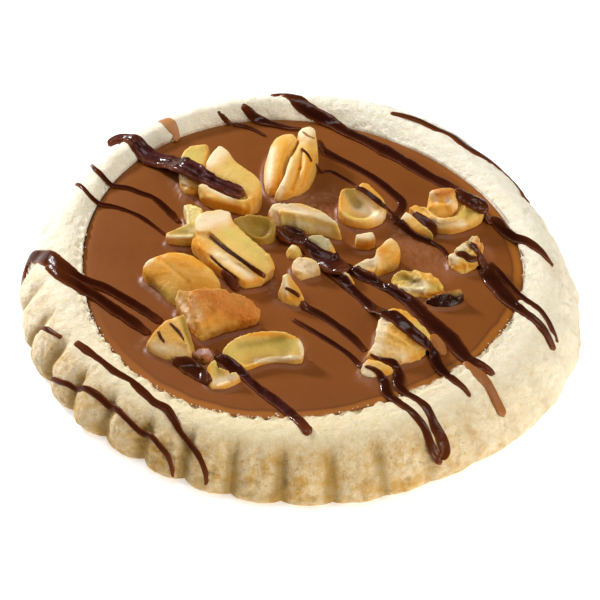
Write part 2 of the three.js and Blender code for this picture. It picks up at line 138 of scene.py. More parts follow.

# ---- Broken cashews ----

# faces are the broken or rounded upper faces of a nut, each a ring of points read from the
# photograph: pixel x, pixel y and millimetres above the filling. Walls run down from them to
# a foot that stands flare further out, and base higher than the foot of the other nuts. dish
# is how deep a face is hollowed, or below 0 how far it swells. carve holds soft grooves (below
# 0) and swells (above 0) along a line in the photograph: x, y, x, y, reach in pixels and
# depth. paint holds tones along such lines, with the reach and the strength; among them the
# olive and grey tones are painted shade, pale is white breaks and painted highlights, and milk
# is a pinkish coat with painted sheen. coarse is the height of a broken face's lumps, flaky the
# height of its fine crags.
CASHEWS = (
    {"node": "cashew_saddle", "base": 0.9, "flare": -0.5, "dish": (-0.25, 0.05, -0.2), "faces": (
        ((195, 220, 5.4), (200, 213, 6), (209, 210, 6.3), (221, 209, 6.4), (230, 211, 6.2), (233, 221, 5.9),
         (241, 229, 5.6), (252, 240, 5.2), (266, 251, 4.6), (272, 259, 4), (274, 267, 3.2), (266, 274, 3.2),
         (256, 268, 3.9), (242, 260, 4.4), (229, 250, 4.8), (209, 233, 5), (196, 232, 4.8)),
        ((195, 233, 4.4), (209, 236, 4.4), (228, 253, 4.2), (242, 264, 3.9), (258, 273, 3.2),
         (265, 277, 2.6), (256, 280, 2.2), (245, 281, 2.4), (234, 275, 2.8), (222, 267, 3.2),
         (210, 255, 3.6), (198, 246, 3.8)),
        ((193, 236, 3.6), (197, 247, 3.4), (209, 259, 3), (222, 271, 2.4), (236, 280, 1.8), (231, 279, 1.5),
         (221, 272, 1.6), (211, 264, 1.8), (203, 256, 2), (195, 249, 2.4), (191, 243, 2.8))),
     "carve": ((209, 234, 229, 251, 2, -0.45), (229, 251, 264, 276, 2, -0.45),
               (210, 256, 237, 280, 2, -0.45), (268, 256, 274, 268, 2.5, 0.3),
               (219, 255, 224, 258, 2, 0.25)),
     "paint": (("pale", 198, 222, 224, 216, 8, 1), ("green", 230, 232, 266, 260, 8, 0.8),
               ("golden", 193, 238, 203, 252, 6, 1), ("golden", 208, 263, 236, 281, 4, 1),
               ("pale", 214, 252, 250, 276, 4, 0.7), ("golden", 272, 258, 276, 270, 4, 0.7),
               ("golden", 228, 213, 233, 224, 3, 0.7), ("golden", 245, 282, 262, 279, 4, 0.8))},
    {"node": "cashew_trough", "flare": -0.2, "dish": (-0.5, -0.2, 0), "faces": (
        ((206, 162, 5.4), (212, 152, 6.2), (220, 145, 6.8), (228, 151, 6.4), (234, 160, 6), (242, 166, 5.9),
         (255, 174, 5.6), (261, 181, 5.2), (262, 189, 4.8), (257, 197, 4.3), (248, 200, 4), (238, 190, 4.3),
         (222, 182, 4.6), (206, 174, 4.6)),
        ((198, 185, 3.4), (204, 183, 3.8), (214, 189, 3.8), (228, 195, 3.8), (240, 200, 3.8), (252, 200, 4),
         (250, 205, 3.2), (240, 203, 2.9), (226, 201, 2.8), (212, 198, 2.8), (202, 192, 2.9)),
        ((200, 172, 3.6), (215, 178, 4.2), (236, 186, 4.2), (248, 196, 4), (243, 203, 3.4), (225, 196, 3.4),
         (204, 186, 3.4))),
     "carve": ((190, 168, 244, 196, 6, -0.7), (204, 197, 244, 207, 3, 0.3)),
     "paint": (("pale", 209, 160, 222, 149, 8, 1), ("golden", 204, 203, 246, 211, 5, 1.2),
               ("golden", 250, 205, 263, 186, 5, 0.6), ("green", 230, 168, 252, 182, 9, 0.35),
               ("pale", 200, 184, 232, 198, 3, 0.8))},
    {"node": "cashew_whole_left", "flare": 0.5, "dish": (-1.7,), "faces": (
        ((267, 160, 2.4), (270, 148, 3), (276, 139, 3.6), (284, 135, 4), (293, 134, 4.2), (298, 140, 4.2),
         (294, 150, 3.8), (289, 160, 3.4), (285, 170, 2.8), (283, 179, 2.3), (277, 189, 1.7),
         (270, 192, 1.2), (266, 186, 1.4), (265, 174, 1.8)),),
     "carve": ((290, 152, 278, 184, 2.5, -0.3),),
     "paint": (("pale", 270, 150, 267, 184, 4, 1), ("golden", 286, 146, 276, 184, 7, 0.8),
               ("green", 284, 144, 276, 172, 5, 0.5))},
    {"node": "cashew_whole_right", "flare": 0, "dish": (-1.9, -1), "faces": (
        ((298, 144, 3.4), (305, 138, 3.8), (315, 140, 3.8), (317, 152, 3.3), (316, 162, 3), (313, 172, 2.6),
         (308, 182, 2.2), (299, 189, 1.8), (289, 194, 1.5), (279, 198, 1.2), (274, 197, 1.3),
         (280, 189, 1.7), (285, 180, 2.2), (286, 170, 2.6), (290, 160, 3), (295, 151, 3.3)),
        ((298, 133, 4.6), (302, 129, 5), (310, 127, 5.2), (315, 130, 5), (317, 140, 4.6), (318, 150, 4),
         (308, 148, 4.4), (299, 142, 4.4))),
     "carve": ((302, 150, 300, 167, 1.8, -0.6), (300, 167, 292, 190, 1.8, -0.6),
               (306, 160, 302, 184, 2, 0.35), (309, 166, 303, 186, 1.4, -0.35),
               (293, 160, 285, 186, 3, 0.4)),
     "paint": (("pale", 300, 134, 314, 129, 7, 1), ("golden", 312, 158, 304, 184, 5, 1.1),
               ("pale", 291, 160, 278, 197, 3, 0.9), ("golden", 301, 160, 293, 190, 2.5, 1.2),
               ("golden", 284, 196, 302, 189, 2.5, 0.8))},
    {"node": "cashew_toasted", "flare": -1.1, "dish": (-0.4, 0), "coarse": 0.2, "flaky": 0.2, "faces": (
        ((187, 298, 5.4), (192, 289, 6.2), (204, 287, 6.4), (226, 289, 6.2), (240, 294, 5.4),
         (252, 301, 4.4), (261, 309, 3.2), (260, 315, 2.4), (246, 321, 2), (226, 326, 1.8), (214, 332, 1.4),
         (204, 338, 0.8), (198, 330, 2.2), (192, 314, 3.9)),
        ((175, 294, 4.6), (180, 289, 5.6), (190, 290, 6.1), (190, 304, 5), (195, 320, 3.4), (202, 340, 0.6),
         (195, 336, 0.6), (190, 327, 1.4), (186, 318, 2.2), (180, 307, 3.4))),
     "carve": ((190, 298, 194, 318, 2, -0.35), (194, 318, 200, 334, 2, -0.3), (196, 296, 210, 324, 4, 0.2)),
     "paint": (("toasted", 200, 296, 250, 306, 20, 1), ("golden", 206, 320, 246, 314, 9, 0.9),
               ("pale", 180, 300, 192, 326, 3.5, 0.6), ("pale", 192, 300, 200, 318, 4, 0.25))},
    {"node": "cashew_rounded", "flare": -0.4, "dish": (-1.1,), "faces": (
        ((142, 268, 3), (146, 261, 3.8), (155, 257, 4.2), (165, 254, 4.5), (182, 253, 4.7), (194, 256, 4.5),
         (203, 262, 4.1), (213, 271, 3.6), (221, 283, 2.6), (215, 291, 1.4), (195, 297, 1), (180, 305, 0.8),
         (172, 301, 1.1), (163, 291, 1.6), (154, 281, 2.1), (146, 276, 2.4)),),
     "carve": ((160, 259, 188, 282, 1.8, -0.22), (188, 282, 194, 296, 1.8, -0.25),
               (170, 256, 198, 268, 5, 0.25)),
     "paint": (("golden", 160, 257, 200, 264, 7, 1.3), ("pale", 144, 262, 150, 258, 4, 1),
               ("golden", 143, 272, 150, 280, 4, 1.2), ("golden", 150, 266, 205, 288, 18, 0.7),
               ("olive_shade", 160, 292, 190, 302, 6, 0.35), ("green", 176, 296, 210, 286, 9, 0.6))},
    {"node": "cashew_crescent", "flare": -0.3, "dish": (1.2,), "faces": (
        ((222, 350, 2.6), (229, 342, 3.2), (237, 337, 3.6), (249, 333, 3.9), (261, 331, 4), (273, 330, 4),
         (284, 331, 4), (294, 335, 3.8), (301, 340, 3.4), (304, 348, 2.9), (302, 356, 2.2), (294, 359, 1.7),
         (283, 358, 1.6), (273, 357, 1.6), (262, 360, 1.5), (254, 364, 1.4), (241, 369, 1.2),
         (229, 362, 1.6)),),
     "paint": (("green", 232, 352, 292, 344, 9, 1.1), ("olive_shade", 240, 346, 284, 338, 4, 0.5),
               ("pale", 256, 361, 300, 357, 2.2, 1.1), ("pale", 300, 342, 303, 354, 2.2, 1),
               ("golden", 245, 333, 300, 337, 2.2, 1.2), ("golden", 242, 371, 268, 363, 3, 1.1),
               ("golden", 304, 344, 305, 356, 2.5, 0.8))},
    {"node": "cashew_flaky", "flare": -0.3, "dish": (-0.4, -0.3), "coarse": 0.2, "flaky": 0.32, "faces": (
        ((379, 317, 4.2), (384, 311, 4.9), (393, 309, 5.2), (400, 308, 5.2), (408, 312, 5), (416, 319, 4.6),
         (423, 324, 4.2), (429, 330, 3.8), (429, 338, 3), (412, 330, 4.4), (396, 322, 4.8)),
        ((379, 318, 4.2), (392, 322, 4.8), (410, 332, 4.4), (428, 341, 2.8), (426, 347, 1.9),
         (420, 354, 1.2), (411, 359, 0.9), (398, 362, 0.9), (386, 359, 1.1), (368, 354, 1.6),
         (373, 344, 2.6), (377, 331, 3.6))),
     "carve": ((384, 326, 416, 344, 3, -0.15), (392, 336, 412, 346, 2, 0.2), (408, 313, 424, 326, 2, -0.2)),
     "paint": (("pale", 382, 320, 376, 350, 6, 1.2), ("golden", 396, 328, 426, 344, 8, 0.7),
               ("golden", 396, 310, 414, 318, 5, 0.9), ("green", 404, 316, 428, 334, 5, 0.5),
               ("pale", 384, 346, 404, 358, 5, 0.5), ("golden", 402, 364, 420, 354, 3, 1.1))},
    {"node": "cashew_cup", "flare": -0.3, "dish": (1.7, -0.2), "faces": (
        ((339, 196, 3.8), (341, 189, 4.4), (346, 187, 4.6), (352, 188, 4.2), (359, 186, 4.6),
         (368, 188, 4.8), (378, 197, 4.2), (385, 208, 3.4), (382, 215, 2.4), (374, 220, 1.9),
         (366, 222, 1.8), (356, 221, 1.9), (346, 217, 2.3), (339, 210, 2.8)),
        ((357, 187, 4.8), (362, 182, 5.4), (368, 183, 5.4), (376, 191, 4.9), (383, 198, 4.3),
         (387, 207, 3.4), (380, 206, 3.6), (372, 198, 4.4), (364, 191, 4.8))),
     "carve": ((356, 189, 388, 209, 2, -0.25),),
     "paint": (("golden", 341, 190, 341, 208, 3, 0.7), ("golden", 352, 228, 376, 229, 2.5, 0.9),
               ("pale", 356, 206, 380, 216, 5, 1), ("olive_shade", 349, 192, 357, 204, 5, 1.3),
               ("pale", 360, 198, 372, 208, 5, 0.8), ("golden", 364, 184, 384, 199, 4, 0.7),
               ("green", 344, 214, 366, 220, 3, 0.6))},
    {"node": "cashew_bar", "flare": 1, "dish": (0.1,), "faces": (
        ((271, 205, 4.2), (276, 202, 4.8), (288, 203, 5.1), (300, 203, 5.1), (312, 207, 5), (322, 211, 4.8),
         (331, 217, 4.5), (338, 222, 4), (336, 225, 3.6), (326, 221, 3.9), (312, 216, 4.2), (298, 213, 4.4),
         (285, 212, 4.4), (275, 210, 4)),),
     "carve": ((281, 212, 283, 226, 1.6, 0.3), (296, 216, 298, 230, 2.5, 0.2)),
     "paint": (("pale", 271, 208, 277, 222, 5, 1.2), ("green", 286, 222, 332, 232, 7, 1.1),
               ("pale", 292, 222, 328, 230, 4, 0.5), ("golden", 282, 228, 330, 240, 2, 0.7),
               ("pale", 278, 205, 334, 219, 4, 1))},
    {"node": "cashew_sickle", "flare": -0.4, "dish": (0.8,), "faces": (
        ((408, 207, 2.6), (416, 204, 2.8), (424, 207, 3), (432, 216, 3.2), (444, 219, 3.4), (457, 216, 3.6),
         (465, 207, 4), (465, 197, 4.5), (473, 194, 4.6), (481, 197, 4.3), (485, 204, 3.6), (483, 212, 2.8),
         (476, 219, 2.2), (464, 225, 1.8), (450, 229, 1.6), (438, 228, 1.6), (427, 222, 1.9),
         (417, 214, 2.2)),),
     "carve": ((424, 216, 440, 221, 2, 0.3), (440, 221, 462, 219, 2, 0.3), (426, 226, 470, 224, 2.5, 0.2)),
     "paint": (("golden", 424, 230, 468, 230, 2.5, 0.8), ("green", 462, 214, 482, 206, 6, 0.9),
               ("pale", 430, 222, 462, 224, 4, 0.9), ("golden", 480, 197, 486, 208, 2.5, 0.9),
               ("golden", 410, 207, 424, 208, 3, 0.7))},
    {"node": "cashew_slice", "flare": -0.2, "dish": (-0.15, -0.1), "faces": (
        ((181, 156, 4.2), (184, 151, 4.5), (190, 146, 4.8), (198, 144, 4.9), (207, 143, 4.9),
         (210, 147, 4.6), (207, 158, 4.4), (204, 168, 4), (200, 178, 3.4), (190, 176, 3.2),
         (181, 168, 3.6)),
        ((179, 172, 2.8), (190, 172, 3.2), (201, 178, 3.2), (201, 186, 2.4), (193, 189, 1.8),
         (186, 188, 1.8), (181, 181, 2.2))),
     "carve": ((184, 186, 192, 190, 2, -0.4),),
     "paint": (("green", 186, 158, 202, 152, 9, 1), ("golden", 207, 145, 208, 158, 3, 0.8),
               ("golden", 187, 187, 192, 192, 4, 1.2), ("pale", 180, 174, 186, 186, 3, 0.9))},
    {"node": "cashew_fan", "flare": -0.3, "dish": (-0.2, 0), "faces": (
        ((146, 343, 1.8), (151, 335, 2.8), (158, 327, 3.8), (166, 320, 4.6), (176, 317, 4.8),
         (181, 328, 4.2), (187, 344, 3.2), (191, 353, 2), (181, 357, 1.2), (166, 356, 0.9), (153, 351, 1)),
        ((176, 317, 4.7), (184, 314, 4.6), (189, 330, 3.6), (195, 351, 1.4), (190, 354, 1.6),
         (184, 338, 3.5))),
     "carve": ((176, 317, 189, 348, 1.6, 0.25),),
     "paint": (("olive_shade", 182, 318, 192, 348, 3, 1), ("golden", 150, 338, 160, 326, 3, 0.8),
               ("pale", 154, 346, 184, 352, 6, 0.5), ("golden", 164, 324, 182, 346, 8, 0.4))},
    {"node": "cashew_shell", "flare": -0.2, "dish": (1.3,), "faces": (
        ((233, 219, 3.4), (240, 216, 3.6), (250, 214, 3.8), (266, 216, 3.8), (274, 220, 3.6),
         (276, 228, 2.9), (273, 235, 2), (265, 240, 1.4), (255, 238, 1.5), (246, 233, 1.9),
         (238, 228, 2.4)),),
     "paint": (("olive_shade", 236, 224, 270, 224, 16, 1.8), ("olive_shade", 238, 232, 256, 240, 5, 1.4),
               ("golden", 258, 240, 275, 234, 3.5, 1.2))},
    {"node": "cashew_forked", "flare": -0.2, "dish": (0.2, 0.2), "faces": (
        ((183, 205, 3.4), (189, 203, 3.8), (196, 205, 4.2), (203, 209, 4.4), (200, 222, 3.9),
         (196, 234, 3.3), (190, 232, 3), (187, 222, 3), (186, 212, 3.2)),
        ((166, 233, 2.5), (173, 230, 2.6), (181, 226, 2.9), (189, 222, 3.4), (197, 224, 3.6), (197, 236, 3),
         (187, 237, 2.6), (176, 237, 2.4), (168, 236, 2.3))),
     "carve": ((168, 237, 192, 237, 1.4, 0.25),),
     "paint": (("green", 188, 210, 190, 244, 14, 1.1), ("pale", 168, 237, 192, 237, 1.8, 1),
               ("pale", 184, 206, 187, 222, 2, 0.9), ("olive_shade", 190, 216, 192, 228, 5, 0.4),
               ("olive_shade", 172, 232, 192, 231, 3.5, 0.6))},
    {"node": "cashew_oblong", "flare": -0.3, "dish": (0, -0.5), "coarse": 0.14, "flaky": 0.08, "faces": (
        ((353, 266, 1.5), (359, 262, 2), (365, 258, 2.4), (373, 257, 3), (377, 258, 3.2), (376, 268, 2),
         (372, 274, 1), (362, 271, 0.9)),
        ((374, 256, 3.2), (378, 247, 3.9), (385, 240, 4.4), (392, 238, 4.5), (397, 243, 4.2),
         (400, 250, 3.6), (397, 258, 2.8), (391, 264, 2.1), (384, 270, 1.5), (376, 274, 1.2),
         (375, 266, 2.4))),
     "carve": ((377, 248, 378, 268, 2, 0.3), (356, 264, 372, 268, 3, -0.25)),
     "paint": (("pale", 354, 266, 374, 259, 6, 1.3), ("golden", 384, 252, 396, 258, 7, 1.1),
               ("golden", 362, 273, 386, 273, 3, 1.1), ("pale", 384, 241, 392, 240, 3, 0.5))},
    {"node": "cashew_dimpled", "flare": -0.4, "dish": (-0.4,), "coarse": 0.3, "flaky": 0.3, "faces": (
        ((389, 281, 1.6), (395, 272, 2.6), (403, 269, 3), (416, 269, 3.2), (428, 273, 3.2), (438, 279, 3),
         (444, 286, 2.4), (440, 292, 1.6), (430, 294, 1.2), (416, 293, 1), (402, 290, 1),
         (394, 286, 1.2)),),
     "carve": ((402, 276, 416, 282, 3, -0.5), (420, 274, 426, 288, 2, 0.45), (400, 287, 424, 291, 2, 0.35),
               (430, 280, 440, 286, 3, 0.3)),
     "paint": (("olive_shade", 400, 275, 416, 282, 4, 0.7), ("green", 396, 280, 440, 290, 12, 0.7),
               ("pale", 400, 289, 424, 291, 2.4, 1), ("golden", 420, 296, 442, 293, 3, 1),
               ("golden", 424, 275, 438, 282, 4, 0.7), ("pale", 412, 282, 426, 287, 4, 1))},
    {"node": "cashew_knob", "flare": 0.3, "dish": (-1.3,), "coarse": 0.14, "faces": (
        ((428, 203, 3.8), (430, 194, 4.6), (437, 191, 5), (446, 190, 5.2), (453, 190, 5.2), (457, 197, 4.8),
         (458, 206, 4), (451, 211, 3.5), (438, 212, 3.3), (428, 209, 3.4)),),
     "carve": ((432, 201, 447, 199, 4, -0.7), (430, 193, 455, 191, 3, 0.3), (450, 201, 452, 210, 4, 0.3)),
     "paint": (("toasted", 438, 193, 452, 191, 3.5, 1.1), ("golden", 431, 203, 452, 204, 6, 1),
               ("pale", 448, 200, 456, 206, 3, 0.7), ("pale", 431, 194, 435, 200, 3, 0.7))},
    {"node": "cashew_craggy", "flare": -0.3, "dish": (-0.3,), "coarse": 0.4, "flaky": 0.4, "faces": (
        ((450, 257, 2), (457, 248, 3.4), (463, 241, 4.2), (470, 235, 4.8), (478, 236, 4.8), (482, 246, 4),
         (481, 256, 2.6), (472, 263, 1.8), (462, 267, 1.2), (453, 265, 1.2)),),
     "carve": ((456, 253, 474, 259, 2, -0.6), (466, 242, 480, 254, 2, -0.5)),
     "paint": (("pale", 452, 260, 471, 237, 4, 1.2), ("toasted", 478, 240, 481, 262, 3.5, 1.2),
               ("chocolate", 468, 244, 478, 252, 1.6, 0.6), ("chocolate", 458, 254, 472, 259, 1.6, 0.6),
               ("golden", 456, 268, 472, 265, 3, 0.9))},
    {"node": "cashew_nook", "flare": -0.2, "dish": (0.7,), "faces": (
        ((207, 366, 2), (211, 361, 2.6), (216, 359, 2.8), (219, 366, 2.6), (228, 370, 2.4), (238, 372, 2.2),
         (240, 377, 1.4), (234, 382, 1), (224, 387, 0.6), (212, 388, 0.5), (208, 380, 1)),),
     "paint": (("green", 212, 364, 220, 376, 5, 1), ("golden", 212, 391, 238, 380, 3, 1.2),
               ("pale", 216, 382, 234, 376, 4, 1), ("golden", 208, 366, 210, 384, 2, 0.8))},
    {"node": "cashew_lump", "flare": 0.1, "dish": (-0.8,), "coarse": 0.4, "flaky": 0.4, "faces": (
        ((192, 354, 1.4), (200, 348, 2), (206, 347, 2.1), (213, 351, 1.8), (212, 359, 1), (203, 363, 0.6),
         (197, 360, 0.8)),),
     # the milk tone on top is a pinkish coat with painted sheen
     "paint": (("toasted", 192, 352, 214, 364, 20, 1.2), ("milk", 198, 347, 213, 350, 7, 1.4),
               ("chocolate", 190, 363, 208, 365, 6, 0.5))},
    {"node": "cashew_wedge", "flare": -0.1, "dish": (-0.2,), "faces": (
        ((279, 290, 2.4), (284, 276, 4.2), (287, 272, 4.6), (291, 276, 4.2), (298, 286, 3), (304, 297, 1.8),
         (297, 303, 0.9), (284, 299, 1)),),
     "carve": ((284, 276, 288, 298, 2, 0.3),),
     "paint": (("pale", 283, 277, 286, 290, 3.5, 1), ("golden", 290, 298, 302, 300, 4, 0.8),
               ("golden", 293, 280, 302, 294, 3, 0.8))},
    {"node": "cashew_pale", "flare": -0.1, "dish": (-0.3,), "coarse": 0.16, "flaky": 0.12, "faces": (
        ((293, 261, 2.2), (298, 256, 2.8), (308, 257, 3), (318, 262, 2.8), (320, 268, 1.9), (311, 273, 1.3),
         (302, 276, 1), (295, 270, 1.4)),),
     "carve": ((300, 260, 306, 272, 2, -0.3),),
     "paint": (("pale", 294, 262, 310, 268, 7, 1.2), ("golden", 306, 273, 320, 269, 3, 1))},
    {"node": "cashew_green", "flare": -0.1, "dish": (-0.2,), "faces": (
        ((307, 237, 3), (313, 234, 3.2), (322, 234, 3.4), (329, 239, 3.2), (334, 248, 2.7), (337, 256, 2.2),
         (334, 260, 1.4), (326, 252, 2), (314, 245, 2)),),
     "carve": ((328, 240, 335, 256, 1.6, 0.3),),
     "paint": (("grey", 308, 237, 325, 243, 7, 1.2), ("golden", 331, 245, 336, 258, 3, 1.1))},
    {"node": "cashew_cube", "flare": 0, "dish": (0,), "coarse": 0.08, "faces": (
        ((356, 234, 3.2), (364, 233, 3.3), (372, 231, 3.4), (375, 236, 3.1), (369, 239, 2.9),
         (358, 239, 2.8)),),
     "paint": (("pale", 356, 234, 372, 235, 5, 1.1), ("golden", 362, 247, 378, 243, 3, 1.2))},
    {"node": "cashew_sliver", "flare": -0.1, "dish": (-0.2,), "coarse": 0.1, "faces": (
        ((400, 218, 2), (406, 211, 2.8), (412, 214, 2.7), (421, 223, 2.3), (434, 233, 1.8), (431, 236, 1),
         (420, 233, 0.9), (411, 229, 1.1), (402, 223, 1.5)),),
     "paint": (("pale", 401, 217, 409, 215, 3, 1.1), ("golden", 403, 224, 424, 235, 3, 1))},
    {"node": "cashew_tip", "flare": -0.1, "dish": (-0.3,), "coarse": 0.14, "flaky": 0.1, "faces": (
        ((362, 366, 1.4), (368, 358, 1.9), (380, 361, 1.9), (391, 366, 1.5), (393, 370, 1), (386, 375, 0.6),
         (373, 377, 0.5), (363, 374, 0.7)),),
     "paint": (("pale", 362, 366, 370, 375, 5, 1.1), ("golden", 376, 372, 390, 374, 4, 1))},
    {"node": "cashew_coated", "flare": 0, "dish": (-0.4,), "coarse": 0.16, "flaky": 0.1, "faces": (
        ((426, 300, 1), (436, 296, 1.5), (449, 290, 2.3), (460, 288, 2.6), (463, 293, 2), (459, 300, 1),
         (446, 304, 0.7), (434, 304, 0.7)),),
     "paint": (("chocolate", 424, 304, 462, 302, 9, 1.6), ("toasted", 440, 292, 461, 287, 3, 1.2))},
)

# Two scraps of nut beside the middle strand, too small to be solids.
SCRAPS = (
    {"node": "cashew_scrap_right", "flare": 0, "dish": (-0.2,), "coarse": 0.12, "flaky": 0.1, "faces": (
        ((340, 275, 1.6), (344, 271, 2.2), (349, 274, 1.9), (353, 280, 1.1), (349, 282, 0.8),
         (343, 279, 1)),),
     "paint": (("pale", 342, 273, 346, 276, 3, 1), ("golden", 348, 277, 352, 281, 3, 0.9))},
    {"node": "cashew_scrap_left", "flare": 0, "dish": (-0.2,), "coarse": 0.12, "flaky": 0.1, "faces": (
        ((288, 249, 1.4), (292, 244, 1.9), (298, 246, 1.8), (301, 251, 1.3), (297, 256, 0.8),
         (290, 255, 0.8)),),
     "paint": (("green", 290, 246, 298, 254, 5, 1), ("pale", 291, 246, 294, 248, 2, 0.8))},
)

NUT_SUNK = 0.9  # how far the nuts are pressed into the filling
NUT_SKIN = 0.23  # size of the small squares of a nut's skin
NUT_SOFTENING = 1  # passes that soften the skin
SOFTENING_SHARE = 0.6  # how far each pass moves a corner towards its neighbours' mean
OUTLINE_ROUNDING = 1  # passes that round the corners of a face's outline
NUT_COLUMNS = 96
NUT_WALL_ROWS = 9
NUT_FACE_ROWS = 25
NUT_COARSE = 0.05  # height of the lumps on a smooth nut
NUT_BULGE = 0.25  # how far its walls swell between foot and face
NUT_LUMP_SIZE = 2.4
NUT_SWELL_SIZE = 4.5
NUT_SWELL_RISE = 0.12
NUT_CHIP_SIZE = 1.3
NUT_CRAG_SIZE = 1.5
NUT_FINE_CRAG_SIZE = 0.8
GOLDEN_TOP = 3.2  # height above the filling at which a nut starts to turn golden downwards
GOLDEN_FULL = 0.2  # height at which it is as golden as its foot

# Each tone's place in the nuts' two colour attributes. The olive and grey tones are painted
# shade, pale is white breaks and painted highlights, and milk is a pinkish coat with painted sheen.
TONES = {"golden": 0, "toasted": 1, "green": 2, "pale": 3, "olive_shade": 4, "grey": 5, "milk": 6, "chocolate": 7}
